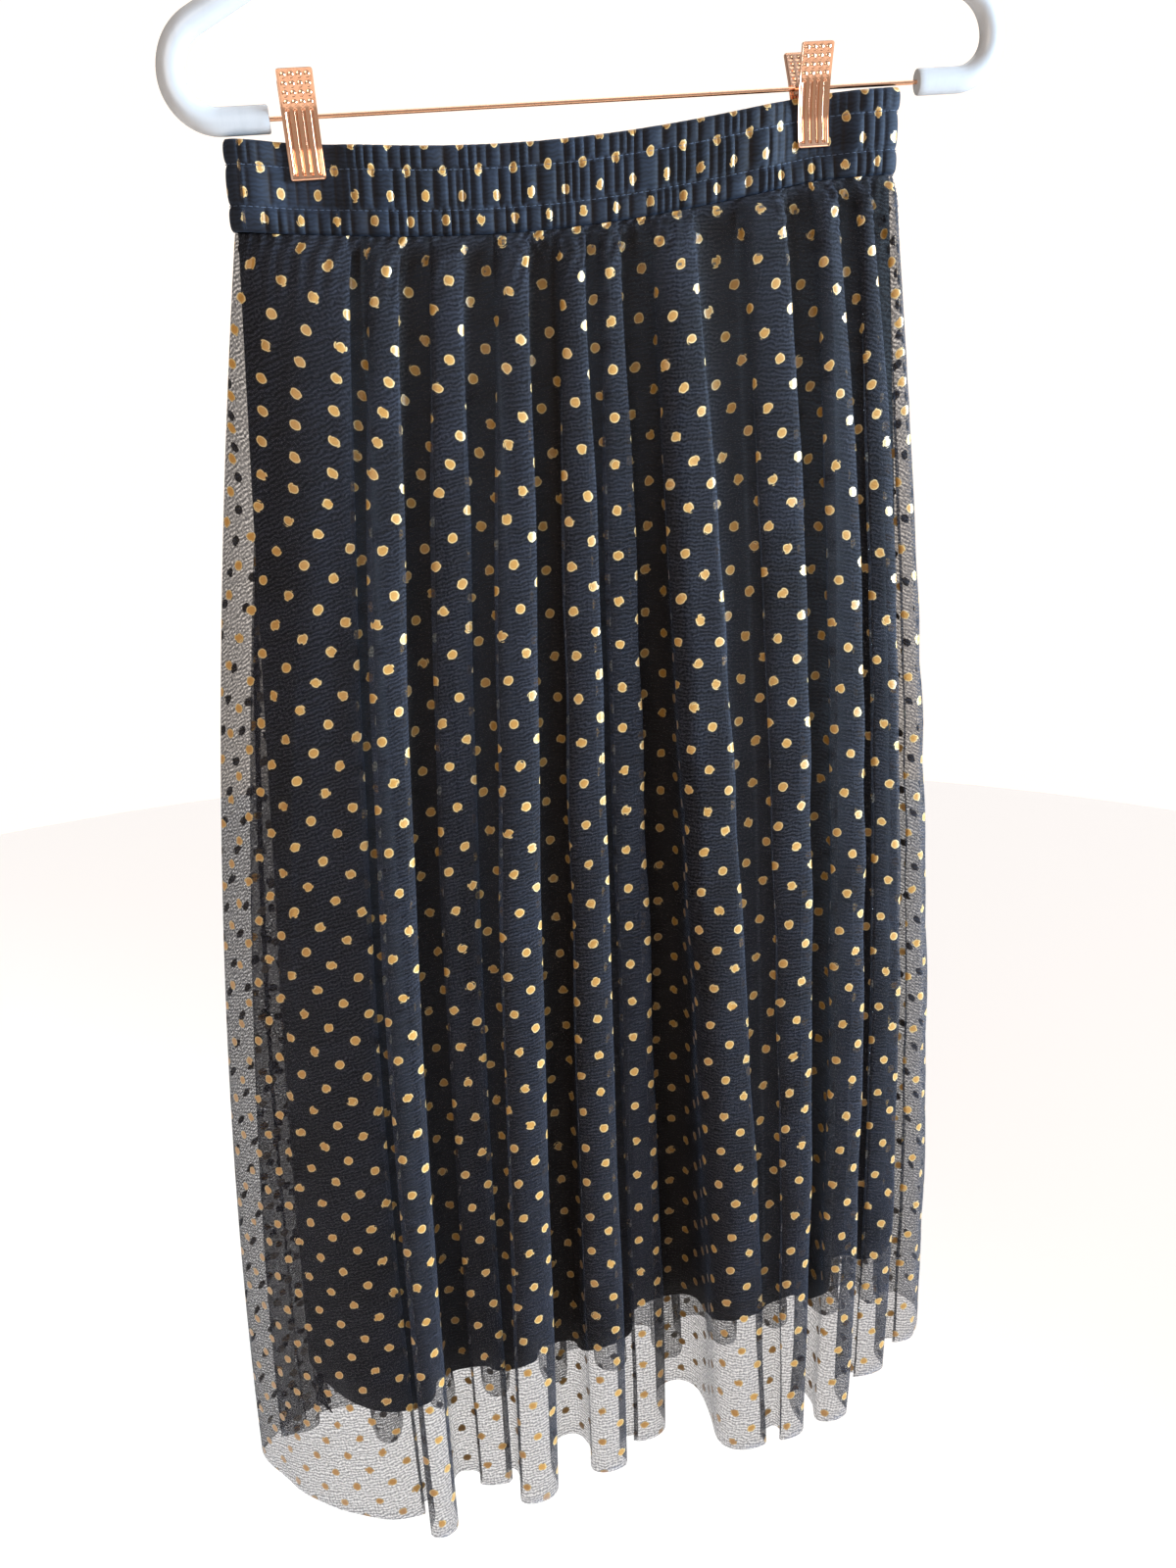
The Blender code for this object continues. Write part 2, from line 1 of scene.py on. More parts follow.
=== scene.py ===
"""Looks of a gathered net maxi skirt that hangs by two clips from a hanger.

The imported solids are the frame: metres, +Z up, +X to the right as the front is
seen, +Y away from the viewer, and the origin at the inside top of the hook. Each
cloth piece is a thin closed shell on its solid's form, laid out again here with
finer steps, its small gathers and its creases.
"""
from __future__ import annotations

import logging
import math
from dataclasses import dataclass
from enum import Enum
from typing import Callable, NamedTuple, Sequence

import bmesh
import bpy
import numpy as np
from mathutils import Matrix, Vector


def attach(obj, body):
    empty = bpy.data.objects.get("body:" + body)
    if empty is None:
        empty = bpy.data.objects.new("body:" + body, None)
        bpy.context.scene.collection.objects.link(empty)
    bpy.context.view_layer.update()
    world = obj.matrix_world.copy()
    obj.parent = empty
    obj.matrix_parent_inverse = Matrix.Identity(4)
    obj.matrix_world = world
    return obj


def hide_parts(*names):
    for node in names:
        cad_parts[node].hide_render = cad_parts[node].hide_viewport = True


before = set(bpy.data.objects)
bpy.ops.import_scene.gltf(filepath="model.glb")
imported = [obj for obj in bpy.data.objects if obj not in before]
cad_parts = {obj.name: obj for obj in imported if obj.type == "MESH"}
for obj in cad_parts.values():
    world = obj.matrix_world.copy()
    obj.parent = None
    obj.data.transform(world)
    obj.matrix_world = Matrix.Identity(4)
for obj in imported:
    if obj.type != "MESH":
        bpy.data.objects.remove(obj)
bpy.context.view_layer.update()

LOG = logging.getLogger("maxi_skirt")
BODY = "root"
MM = 0.001
GAP = 0.3 * MM
SHARP_ANGLE = math.radians(42)
OUT_OF_PLANE = Vector((0, 1, 0))

# The hanger hangs a little out of level from its hook
HANGER_TILT = math.radians(3.76)
HOOK_TO_BAR = 210 * MM
BAR_MIDDLE = Vector((HOOK_TO_BAR * math.sin(HANGER_TILT), 0, -HOOK_TO_BAR * math.cos(HANGER_TILT)))
HANGER_FRAME = Matrix.Translation(BAR_MIDDLE) @ Matrix.Rotation(-HANGER_TILT, 4, "Y")
CLIPS_X = {"left": -153 * MM, "right": 108 * MM}

Array = np.ndarray


class Side(Enum):
    """Which half of the skirt a panel is, and its sign along Y."""

    FRONT = -1
    BACK = 1


class Face(Enum):
    """Which face of a cloth a finish is for."""

    OUTSIDE = "outside"
    INSIDE = "inside"


# Shader building

class Graph:
    """Short hand for placing and joining nodes in one node tree."""

    def __init__(self, tree: bpy.types.NodeTree) -> None:
        """Start with an empty tree."""
        self.tree = tree
        tree.nodes.clear()

    def node(self, kind: str, **settings) -> bpy.types.Node:
        """Add a node.

        Args:
            kind: Blender's name of the node type.
            settings: Properties of the node to set.

        Returns:
            The new node.
        """
        made = self.tree.nodes.new(kind)
        for key, value in settings.items():
            setattr(made, key, value)
        return made

    def feed(self, socket: bpy.types.NodeSocket, value) -> None:
        """Join a socket to an output, or set it to a constant."""
        if isinstance(value, bpy.types.NodeSocket):
            self.tree.links.new(value, socket)
        else:
            socket.default_value = value

    @staticmethod
    def fix(node: bpy.types.Node, values: dict) -> None:
        """Set constants on a node's sockets, by socket name."""
        for name, value in values.items():
            node.inputs[name].default_value = value

    def math(self, operation: str, *values, clamp: bool = False) -> bpy.types.NodeSocket:
        """Add a Math node.

        Args:
            operation: The node's operation.
            values: Its inputs, sockets or numbers.
            clamp: Whether the result stays between 0 and 1.

        Returns:
            The result's socket.
        """
        made = self.node("ShaderNodeMath", operation=operation, use_clamp=clamp)
        for socket, value in zip(made.inputs, values):
            self.feed(socket, value)
        return made.outputs[0]

    def vector(self, operation: str, *values) -> bpy.types.Node:
        """Add a Vector Math node, whose inputs are sockets, vectors or numbers."""
        made = self.node("ShaderNodeVectorMath", operation=operation)
        for socket, value in zip(made.inputs, values):
            self.feed(socket, value)
        return made

    def scaled(self, vector, factor: float) -> bpy.types.NodeSocket:
        """Multiply a vector by a number."""
        made = self.node("ShaderNodeVectorMath", operation="SCALE")
        self.feed(made.inputs[0], vector)
        self.fix(made, {"Scale": factor})
        return made.outputs[0]

    def ramp(self, value, low, high, start: float = 0.0, end: float = 1.0) -> bpy.types.NodeSocket:
        """Map low..high smoothly onto start..end."""
        made = self.node("ShaderNodeMapRange", interpolation_type="SMOOTHSTEP")
        for name, number in (("Value", value), ("From Min", low), ("From Max", high),
                             ("To Min", start), ("To Max", end)):
            self.feed(made.inputs[name], number)
        return made.outputs[0]

    def noise(self, vector, scale: float, detail: float = 0.0, space: str = "2D") -> bpy.types.NodeSocket:
        """Add a Noise Texture, over the flat cloth or through space, and return its value."""
        made = self.node("ShaderNodeTexNoise", noise_dimensions=space)
        self.feed(made.inputs["Vector"], vector)
        self.fix(made, {"Scale": scale, "Detail": detail})
        return made.outputs[0]

    def blend(self, factor, first, second) -> bpy.types.NodeSocket:
        """Mix two colours."""
        made = self.node("ShaderNodeMix", data_type="RGBA")
        self.feed(made.inputs["Factor"], factor)
        self.feed(made.inputs["A"], first if isinstance(first, bpy.types.NodeSocket) else (*first, 1))
        self.feed(made.inputs["B"], second if isinstance(second, bpy.types.NodeSocket) else (*second, 1))
        return made.outputs["Result"]


class Effects:
    """Shader effects that several finishes share, each a node group built once."""

    def __init__(self) -> None:
        """Build the groups."""
        self.dots = self.dot_print()
        self.knit = self.knitted_net()
        self.marks = self.fine_marks()

    @staticmethod
    def group(name: str, inputs: Sequence[tuple], outputs: Sequence[tuple]) -> tuple:
        """Make an empty node group.

        Args:
            name: The group's name.
            inputs: Name, socket type and default of each input.
            outputs: Name and socket type of each output.

        Returns:
            The group, its graph, its input node and its output node.
        """
        tree = bpy.data.node_groups.new(name, "ShaderNodeTree")
        graph = Graph(tree)
        for label, kind, default in inputs:
            socket = tree.interface.new_socket(label, in_out="INPUT", socket_type=kind)
            if default is not None:
                socket.default_value = default
        for label, kind in outputs:
            tree.interface.new_socket(label, in_out="OUTPUT", socket_type=kind)
        return tree, graph, graph.node("NodeGroupInput"), graph.node("NodeGroupOutput")

    def dot_print(self) -> bpy.types.NodeTree:
        """Half-drop print of small uneven dots.

        Returns:
            The node group. Dot is 1 on the print, Core is 1 inside its rim, and Tone
            differs from dot to dot.
        """
        tree, graph, given, result = self.group(
            "dot print",
            (("Cloth", "NodeSocketVector", None), ("Repeat", "NodeSocketFloat", 0.024),
             ("Radius", "NodeSocketFloat", 0.00268), ("Rim", "NodeSocketFloat", 0.00055),
             ("Wobble", "NodeSocketFloat", 0.00032)),
            (("Dot", "NodeSocketFloat"), ("Core", "NodeSocketFloat"), ("Tone", "NodeSocketFloat")))
        cloth = given.outputs["Cloth"]
        bent = graph.node("ShaderNodeTexNoise", noise_dimensions="2D")
        graph.feed(bent.inputs["Vector"], cloth)
        graph.fix(bent, {"Scale": 330.0, "Detail": 0.0})
        centred = graph.vector("SUBTRACT", bent.outputs["Color"], (0.5, 0.5, 0.5)).outputs[0]
        push = graph.node("ShaderNodeVectorMath", operation="SCALE")
        graph.feed(push.inputs[0], centred)
        graph.feed(push.inputs["Scale"], given.outputs["Wobble"])
        uneven = graph.vector("ADD", cloth, push.outputs[0]).outputs[0]
        repeat = graph.node("ShaderNodeCombineXYZ")
        for axis in range(3):
            graph.feed(repeat.inputs[axis], given.outputs["Repeat"])
        cells = graph.vector("DIVIDE", uneven, repeat.outputs[0]).outputs[0]
        nearest, tones = [], []
        for shift in (0.0, 0.5):
            moved = graph.vector("ADD", cells, (shift, shift, 0.0)).outputs[0]
            corner = graph.vector("FLOOR", moved).outputs[0]
            chance = graph.node("ShaderNodeTexWhiteNoise", noise_dimensions="3D")
            graph.feed(chance.inputs["Vector"], graph.vector("ADD", corner, (shift, 7.3, 1.7)).outputs[0])
            stray = graph.vector("SUBTRACT", chance.outputs["Color"], (0.5, 0.5, 0.5)).outputs[0]
            local = graph.vector("SUBTRACT", graph.vector("SUBTRACT", moved, corner).outputs[0],
                                 (0.5, 0.5, 0.0)).outputs[0]
            offset = graph.vector("ADD", local, graph.scaled(stray, 0.05)).outputs[0]
            flat = graph.vector("MULTIPLY", offset, (1.0, 1.0, 0.0)).outputs[0]
            nearest.append(graph.vector("LENGTH", flat).outputs["Value"])
            tones.append(chance.outputs["Value"])
        distance = graph.math("MULTIPLY", graph.math("MINIMUM", *nearest), given.outputs["Repeat"])
        first_wins = graph.math("LESS_THAN", *nearest)
        tone = graph.math("ADD", graph.math("MULTIPLY", tones[0], first_wins),
                          graph.math("MULTIPLY", tones[1], graph.math("SUBTRACT", 1.0, first_wins)))
        soft = 0.00018
        radius = given.outputs["Radius"]
        dot = graph.ramp(distance, graph.math("SUBTRACT", radius, soft),
                         graph.math("ADD", radius, soft), 1.0, 0.0)
        inner = graph.math("SUBTRACT", radius, given.outputs["Rim"])
        core = graph.ramp(distance, graph.math("SUBTRACT", inner, 2 * soft),
                          graph.math("ADD", inner, 2 * soft), 1.0, 0.0)
        for label, socket in (("Dot", dot), ("Core", core), ("Tone", tone)):
            graph.feed(result.inputs[label], socket)
        return tree

    def knitted_net(self) -> bpy.types.NodeTree:
        """Fine courses and wales of a knitted net.

        Returns:
            The node group. Fill says how closed the net is, from 0 to 1, Height
            is its relief, and Shade is the yarn's slow change of tone.
        """
        tree, graph, given, result = self.group(
            "knitted net",
            (("Cloth", "NodeSocketVector", None), ("Course", "NodeSocketFloat", 0.0022)),
            (("Fill", "NodeSocketFloat"), ("Height", "NodeSocketFloat"), ("Shade", "NodeSocketFloat")))
        cloth = given.outputs["Cloth"]
        split = graph.node("ShaderNodeSeparateXYZ")
        graph.feed(split.inputs[0], cloth)
        turns = graph.math("DIVIDE", 2 * math.pi, given.outputs["Course"])
        waver = graph.math("MULTIPLY", graph.noise(cloth, 210.0), 6.5)
        course = graph.math("SINE", graph.math("ADD", graph.math("MULTIPLY", split.outputs[1], turns), waver))
        wale = graph.math("SINE", graph.math("ADD", graph.math("MULTIPLY", split.outputs[0], turns),
                                             graph.math("MULTIPLY", waver, 0.6)))
        grain = graph.noise(cloth, 800.0)
        weave = graph.math("ADD", graph.math("MULTIPLY", course, 0.42), graph.math("MULTIPLY", wale, 0.12))
        open_share = graph.math("ADD", weave, graph.math("MULTIPLY_ADD", grain, 1.3, -0.15))
        graph.feed(result.inputs["Fill"], graph.math("MULTIPLY", open_share, 1.0, clamp=True))
        graph.feed(result.inputs["Height"], graph.math("MULTIPLY_ADD", course, 0.5, 0.5))
        drawn = graph.vector("MULTIPLY", cloth, (0.06, 1.0, 1.0)).outputs[0]
        slow = graph.math("MULTIPLY", graph.noise(cloth, 24.0), 0.5)
        graph.feed(result.inputs["Shade"], graph.math("MULTIPLY_ADD", graph.noise(drawn, 420.0), 0.5, slow))
        return tree

    def fine_marks(self) -> bpy.types.NodeTree:
        """Handling marks and a faint orange-peel for hard surfaces.

        Returns:
            The node group. Mark is 0 to 1 where the surface is duller, Height its relief.
        """
        tree, graph, given, result = self.group(
            "fine marks",
            (("Place", "NodeSocketVector", None), ("Scale", "NodeSocketFloat", 300.0)),
            (("Mark", "NodeSocketFloat"), ("Height", "NodeSocketFloat")))
        stretched = graph.vector("MULTIPLY", given.outputs["Place"], (1.0, 1.0, 0.25)).outputs[0]
        scratches = graph.node("ShaderNodeTexNoise")
        graph.feed(scratches.inputs["Vector"], stretched)
        graph.feed(scratches.inputs["Scale"], given.outputs["Scale"])
        graph.fix(scratches, {"Detail": 6.0})
        clouds = graph.noise(given.outputs["Place"], 45.0, detail=3.0, space="3D")
        mark = graph.math("MULTIPLY", graph.ramp(scratches.outputs[0], 0.45, 0.75), clouds)
        graph.feed(result.inputs["Mark"], mark)
        graph.feed(result.inputs["Height"], scratches.outputs[0])
        return tree


# Finishes

class Surface:
    """A new material with one Principled shader, ready for its colour."""

    def __init__(self, name: str) -> None:
        """Start with the shader joined to the output."""
        self.material = bpy.data.materials.new(name)
        self.material.use_nodes = True
        self.graph = Graph(self.material.node_tree)
        self.shader = self.graph.node("ShaderNodeBsdfPrincipled")
        output = self.graph.node("ShaderNodeOutputMaterial")
        self.graph.feed(output.inputs["Surface"], self.shader.outputs[0])

    def feed(self, socket: str, value: bpy.types.NodeSocket) -> None:
        """Join an output to one of the shader's sockets."""
        self.graph.feed(self.shader.inputs[socket], value)

    def bump(self, height: bpy.types.NodeSocket, strength: float, distance: float) -> None:
        """Raise the surface by a height."""
        bump = self.graph.node("ShaderNodeBump")
        self.graph.fix(bump, {"Strength": strength, "Distance": distance})
        self.graph.feed(bump.inputs["Height"], height)
        self.feed("Normal", bump.outputs[0])


@dataclass(frozen=True)
class NetFinish:
    """Sheer knitted net with a rubbery dot print, or the same net laid double."""

    name: str
    face: Face
    coverage: float
    yarn: tuple = (0.030, 0.031, 0.044)
    yarn_shade: tuple = (0.013, 0.011, 0.012)
    print_core: tuple = (0.42, 0.205, 0.036)
    print_core_dark: tuple = (0.31, 0.142, 0.022)
    # The dots' pale rim colour is a painted highlight: light caught on the print's raised edge
    print_rim_highlight: tuple = (0.54, 0.385, 0.17)
    print_back: tuple = (0.085, 0.062, 0.038)
    print_back_rim: tuple = (0.11, 0.085, 0.055)
    # Painted shade: the brownish black and the strength with which deep folds and rib valleys are darkened
    painted_shade_colour: tuple = (0.010, 0.0055, 0.003)
    painted_shade_strength: float = 0.92
    least_glance: float = 0.2
    glance_power: float = 0.32

    def material(self, effects: Effects) -> bpy.types.Material:
        """Build the material.

        Args:
            effects: The shared node groups.

        Returns:
            A material whose dots are opaque and whose net lets light through, with a painted highlight on the
            dots' rims and painted shade deep in the folds.
        """
        surface = Surface(self.name)
        graph = surface.graph
        cloth = graph.node("ShaderNodeUVMap", uv_map="Cloth").outputs[0]
        dots = graph.node("ShaderNodeGroup", node_tree=effects.dots)
        knit = graph.node("ShaderNodeGroup", node_tree=effects.knit)
        for group in (dots, knit):
            graph.feed(group.inputs["Cloth"], cloth)
        dot, core, tone = (dots.outputs[label] for label in ("Dot", "Core", "Tone"))
        mottle = graph.noise(cloth, 900.0)
        light = graph.math("ADD", graph.math("MULTIPLY", knit.outputs["Height"], 0.4),
                           graph.math("MULTIPLY_ADD", knit.outputs["Shade"], 1.1, -0.3), clamp=True)
        yarn = graph.blend(light, self.yarn_shade, self.yarn)
        if self.face is Face.OUTSIDE:
            shade = graph.math("ADD", graph.math("MULTIPLY", tone, 0.4), graph.math("MULTIPLY", mottle, 0.6))
            centre = graph.blend(shade, self.print_core_dark, self.print_core)
            # Painted highlight: the pale rim round each dot stands for light caught on the raised edge of the
            # print
            ink = graph.blend(core, self.print_rim_highlight, centre)
        else:
            ink = graph.blend(core, self.print_back_rim, self.print_back)
        # Painted shade: the colour is darkened towards a brownish black where a point lies deep in a fold,
        # less on the dots
        sunk = graph.node("ShaderNodeAttribute", attribute_name="Sunk").outputs["Fac"]
        painted_shade_amount = graph.math("MULTIPLY", sunk, graph.math("MULTIPLY_ADD", dot, -0.4, self.painted_shade_strength))
        printed = graph.blend(dot, yarn, ink)
        surface.feed("Base Color", graph.blend(painted_shade_amount, printed, self.painted_shade_colour))
        surface.feed("Roughness", graph.math("MULTIPLY_ADD", dot, -0.36, 0.78))
        # The dots' coat is faded out where the painted shade darkens the folds
        outside_painted_shade = graph.math("SUBTRACT", 1.0, sunk)
        surface.feed("Coat Weight", graph.math("MULTIPLY", graph.math("MULTIPLY", dot, 0.7), outside_painted_shade))
        graph.fix(surface.shader, {"Coat Roughness": 0.48, "Specular IOR Level": 0.2, "Sheen Weight": 0.1,
                                   "Sheen Roughness": 0.35, "Sheen Tint": (0.35, 0.55, 0.95, 1)})
        if self.coverage < 1:
            surface.feed("Alpha", self.alpha(graph, knit.outputs["Fill"], dot))
        surface.bump(knit.outputs["Height"], 0.45, 0.12 * MM)
        surface.material.surface_render_method = "DITHERED"
        return surface.material

    def alpha(self, graph: Graph, fill: bpy.types.NodeSocket,
              dot: bpy.types.NodeSocket) -> bpy.types.NodeSocket:
        """How much the net hides: more where it is met at a glancing angle, and all of it on a dot."""
        facing = graph.node("ShaderNodeLayerWeight")
        facing.inputs["Blend"].default_value = 0.5
        cosine = graph.math("SUBTRACT", 1.0, facing.outputs["Facing"])
        layers = graph.math("POWER", graph.math("MAXIMUM", cosine, self.least_glance), -self.glance_power)
        straight = graph.math("MULTIPLY", graph.math("MULTIPLY_ADD", fill, 1.1, 0.45), self.coverage)
        through = graph.math("POWER", graph.math("SUBTRACT", 1.0, straight), layers)
        return graph.math("MAXIMUM", graph.math("SUBTRACT", 1.0, through), dot, clamp=True)


@dataclass(frozen=True)
class LiningFinish:
    """Matt black woven lining."""

    name: str
    colour: tuple = (0.0055, 0.006, 0.008)
    lighter: tuple = (0.010, 0.011, 0.015)
    thread: float = 0.0005

    def material(self, effects: Effects) -> bpy.types.Material:
        """Build the material with its fine twill and slow change of tone."""
        surface = Surface(self.name)
        graph = surface.graph
        cloth = graph.node("ShaderNodeUVMap", uv_map="Cloth").outputs[0]
        knit = graph.node("ShaderNodeGroup", node_tree=effects.knit)
        graph.feed(knit.inputs["Cloth"], cloth)
        graph.fix(knit, {"Course": self.thread})
        shade = knit.outputs["Shade"]
        surface.feed("Base Color", graph.blend(shade, self.colour, self.lighter))
        surface.feed("Roughness", graph.math("MULTIPLY_ADD", shade, 0.2, 0.62))
        graph.fix(surface.shader, {"Specular IOR Level": 0.25, "Sheen Weight": 0.02, "Sheen Roughness": 0.5})
        surface.bump(knit.outputs["Fill"], 0.3, 0.1 * MM)
        return surface.material


@dataclass(frozen=True)
class HardFinish:
    """Plated metal or coated plastic with fine handling marks."""

    name: str
    colour: tuple
    marked: tuple
    metallic: float
    roughness: float
    marked_roughness: float
    coat: float = 0.0
    scale: float = 300.0
    relief: float = 0.00002

    def material(self, effects: Effects) -> bpy.types.Material:
        """Build the material.

        Args:
            effects: The shared node groups.

        Returns:
            The material, duller and a little darker where it is marked.
        """
        surface = Surface(self.name)
        graph = surface.graph
        place = graph.node("ShaderNodeTexCoord").outputs["Object"]
        marks = graph.node("ShaderNodeGroup", node_tree=effects.marks)
        graph.feed(marks.inputs["Place"], place)
        graph.fix(marks, {"Scale": self.scale})
        mark = marks.outputs["Mark"]
        surface.feed("Base Color", graph.blend(mark, self.colour, self.marked))
        duller = self.marked_roughness - self.roughness
        surface.feed("Roughness", graph.math("MULTIPLY_ADD", mark, duller, self.roughness))
        graph.fix(surface.shader, {"Metallic": self.metallic, "Coat Weight": self.coat,
                                   "Coat Roughness": 0.12})
        surface.bump(marks.outputs["Height"], 0.25, self.relief)
        return surface.material


class Wardrobe:
    """Every finish of the skirt and its hanger, made once."""

    def __init__(self) -> None:
        """Build the effects and the materials."""
        effects = Effects()
        self.net_outside = NetFinish("dotted net", Face.OUTSIDE, 0.285).material(effects)
        self.net_inside = NetFinish("dotted net, inside", Face.INSIDE, 0.31).material(effects)
        self.band = NetFinish("shirred net", Face.OUTSIDE, 1.0, yarn=(0.015, 0.021, 0.036),
                              yarn_shade=(0.004, 0.005, 0.008)).material(effects)
        self.band_inside = NetFinish("shirred net, inside", Face.INSIDE, 1.0).material(effects)
        self.lining = LiningFinish("black lining").material(effects)
        self.thread = LiningFinish("navy thread", (0.05, 0.065, 0.10), (0.085, 0.105, 0.15)).material(effects)
        self.plastic = HardFinish("white coated tube", (0.42, 0.415, 0.42), (0.36, 0.355, 0.36), 0.0,
                                  0.36, 0.55, coat=0.25, scale=220.0, relief=0.00004).material(effects)
        self.metal = HardFinish("rose gold plating", (0.86, 0.47, 0.29), (0.62, 0.31, 0.18), 1.0,
                                0.13, 0.34, scale=420.0).material(effects)


# Mesh building

def smooth(value: Array | float, low: float, high: float) -> Array | float:
    """Rise smoothly from 0 at low to 1 at high."""
    t = np.clip((value - low) / (high - low), 0.0, 1.0)
    return t * t * (3 - 2 * t)


def mix(a, b, t):
    """Blend from a to b."""
    return a + (b - a) * t


def chance(index: Array | float, seed: float) -> Array | float:
    """A repeatable number from 0 to 1 for each index."""
    value = np.sin(np.asarray(index) * 12.9898 + seed * 78.233) * 43758.5453
    return value - np.floor(value)


def add_object(name: str, data: bpy.types.ID) -> bpy.types.Object:
    """Make an object and link it to the scene."""
    made = bpy.data.objects.new(name, data)
    bpy.context.scene.collection.objects.link(made)
    return made


def place_piece(name: str, mesh: bpy.types.Mesh, nodes: Sequence[str] = ()) -> bpy.types.Object:
    """Turn a mesh into a piece of the skirt.

    Args:
        name: The piece's name.
        mesh: Its mesh, in the frame's coordinates.
        nodes: The solids that the piece stands for.

    Returns:
        The new object, riding on the body.
    """
    piece = add_object(name, mesh)
    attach(piece, BODY)
    if nodes:
        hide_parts(*nodes)
    LOG.info("%s: %d faces", name, len(mesh.polygons))
    return piece


class ShellGrid(NamedTuple):
    """Outer and inner face of a thin cloth, its points' place on the flat cloth, and the painted shade that
    their depth in a fold gives them.
    """

    outer: Array
    inner: Array
    cloth: Array
    sunk: Array


def grid_faces(rows: int, columns: int, start: int, ring: bool, flip: bool) -> Array:
    """Quads of a grid of points.

    Args:
        rows: Rows of points.
        columns: Points in a row.
        start: Number of the first point.
        ring: Whether each row closes on itself.
        flip: Whether the faces turn the other way.

    Returns:
        One row of four point numbers for each face.
    """
    row = np.arange(rows - 1)[:, None]
    column = np.arange(columns if ring else columns - 1)[None, :]
    after = (column + 1) % columns
    corners = np.broadcast_arrays(row * columns + column, row * columns + after,
                                  (row + 1) * columns + after, (row + 1) * columns + column)
    quads = np.stack(corners, axis=-1).reshape(-1, 4) + start
    return quads[:, ::-1] if flip else quads


def rim_faces(first: Array, second: Array, flip: bool) -> Array:
    """Quads between two matching lines of point numbers."""
    quads = np.stack([first[:-1], first[1:], second[1:], second[:-1]], axis=-1)
    return quads[:, ::-1] if flip else quads


def shell_mesh(name: str, grid: ShellGrid, ring: bool,
               materials: Sequence[bpy.types.Material]) -> bpy.types.Mesh:
    """Close two grids into one thin shell with cloth and bake layouts.

    Args:
        name: The mesh's name.
        grid: The two faces' points, with their place on the flat cloth and the painted shade from their depth
            in a fold.
        ring: Whether each row closes on itself.
        materials: Outside and inside finish.

    Returns:
        The mesh.
    """
    rows, columns = grid.outer.shape[:2]
    count = rows * columns
    outer = grid_faces(rows, columns, 0, ring, False)
    inner = grid_faces(rows, columns, count, ring, True)
    numbers = np.arange(count).reshape(rows, columns)
    top, bottom = numbers[0], numbers[-1]
    if ring:
        top, bottom = np.append(top, top[0]), np.append(bottom, bottom[0])
    rims = [rim_faces(top + count, top, False), rim_faces(bottom, bottom + count, False)]
    if not ring:
        rims.append(rim_faces(numbers[:, 0], numbers[:, 0] + count, False))
        rims.append(rim_faces(numbers[:, -1] + count, numbers[:, -1], False))
    faces = np.concatenate([outer, inner, *rims])
    points = np.concatenate([grid.outer.reshape(-1, 3), grid.inner.reshape(-1, 3)])
    mesh = bpy.data.meshes.new(name)
    mesh.from_pydata(points.tolist(), [], faces.tolist())
    for material in materials:
        mesh.materials.append(material)
    slots = np.zeros(len(faces), dtype=np.int32)
    slots[len(outer):len(outer) + len(inner)] = 1
    mesh.polygons.foreach_set("material_index", slots)
    corners = faces.reshape(-1)
    flat = np.concatenate([grid.cloth.reshape(-1, 2)] * 2)
    cloth_map = mesh.uv_layers.new(name="Cloth")
    cloth_map.data.foreach_set("uv", flat[corners].astype(np.float32).reshape(-1))
    # Painted shade: each point's share of darkening for lying deep in a fold, which the net finishes paint
    # into their colour
    sunk = mesh.attributes.new("Sunk", "FLOAT", "POINT")
    sunk.data.foreach_set("value", np.tile(grid.sunk.reshape(-1), 2).astype(np.float32))
    bake_layout(mesh, faces, rows, columns, len(outer), ring)
    mesh.shade_smooth()
    mesh.update()
    return mesh


# Layout of a shell in the unit square: both faces side by side, then columns of rim faces
BAKE_FACE_WIDTH = 0.465
BAKE_OUTER_LEFT = 0.005
BAKE_INNER_LEFT = 0.495
BAKE_RIM_LEFT = 0.965
BAKE_RIM_PITCH = 0.004
BAKE_RIM_WIDTH = 0.003
BAKE_RIM_ROWS = 400


def bake_layout(mesh: bpy.types.Mesh, faces: Array, rows: int, columns: int,
                outer_count: int, ring: bool) -> None:
    """Lay the outer face, the inner face and the rims side by side in a unit square."""
    count = rows * columns
    steps = columns if ring else columns - 1
    index = np.arange(2 * count) % count
    across, down = (index % columns) / steps, (index // columns) / (rows - 1)
    u, v = across[faces], down[faces]
    wraps = (u.max(axis=1) - u.min(axis=1)) > 0.5
    u[wraps] = np.where(u[wraps] < 0.5, u[wraps] + 1, u[wraps])
    inner = slice(outer_count, 2 * outer_count)
    u[:outer_count] = BAKE_OUTER_LEFT + BAKE_FACE_WIDTH * u[:outer_count]
    u[inner] = BAKE_INNER_LEFT + BAKE_FACE_WIDTH * u[inner]
    rim_count = len(faces) - 2 * outer_count
    rim = np.arange(rim_count)
    band, spot = rim // BAKE_RIM_ROWS, rim % BAKE_RIM_ROWS
    low, high = spot / BAKE_RIM_ROWS, (spot + 0.8) / BAKE_RIM_ROWS
    left = BAKE_RIM_LEFT + BAKE_RIM_PITCH * band
    right = left + BAKE_RIM_WIDTH
    u[2 * outer_count:] = np.stack([left, left, right, right], axis=-1)
    v[2 * outer_count:] = np.stack([low, high, high, low], axis=-1)
    layout = mesh.uv_layers.new(name="OFBake")
    layout.data.foreach_set("uv", np.stack([u, v], axis=-1).astype(np.float32).reshape(-1))


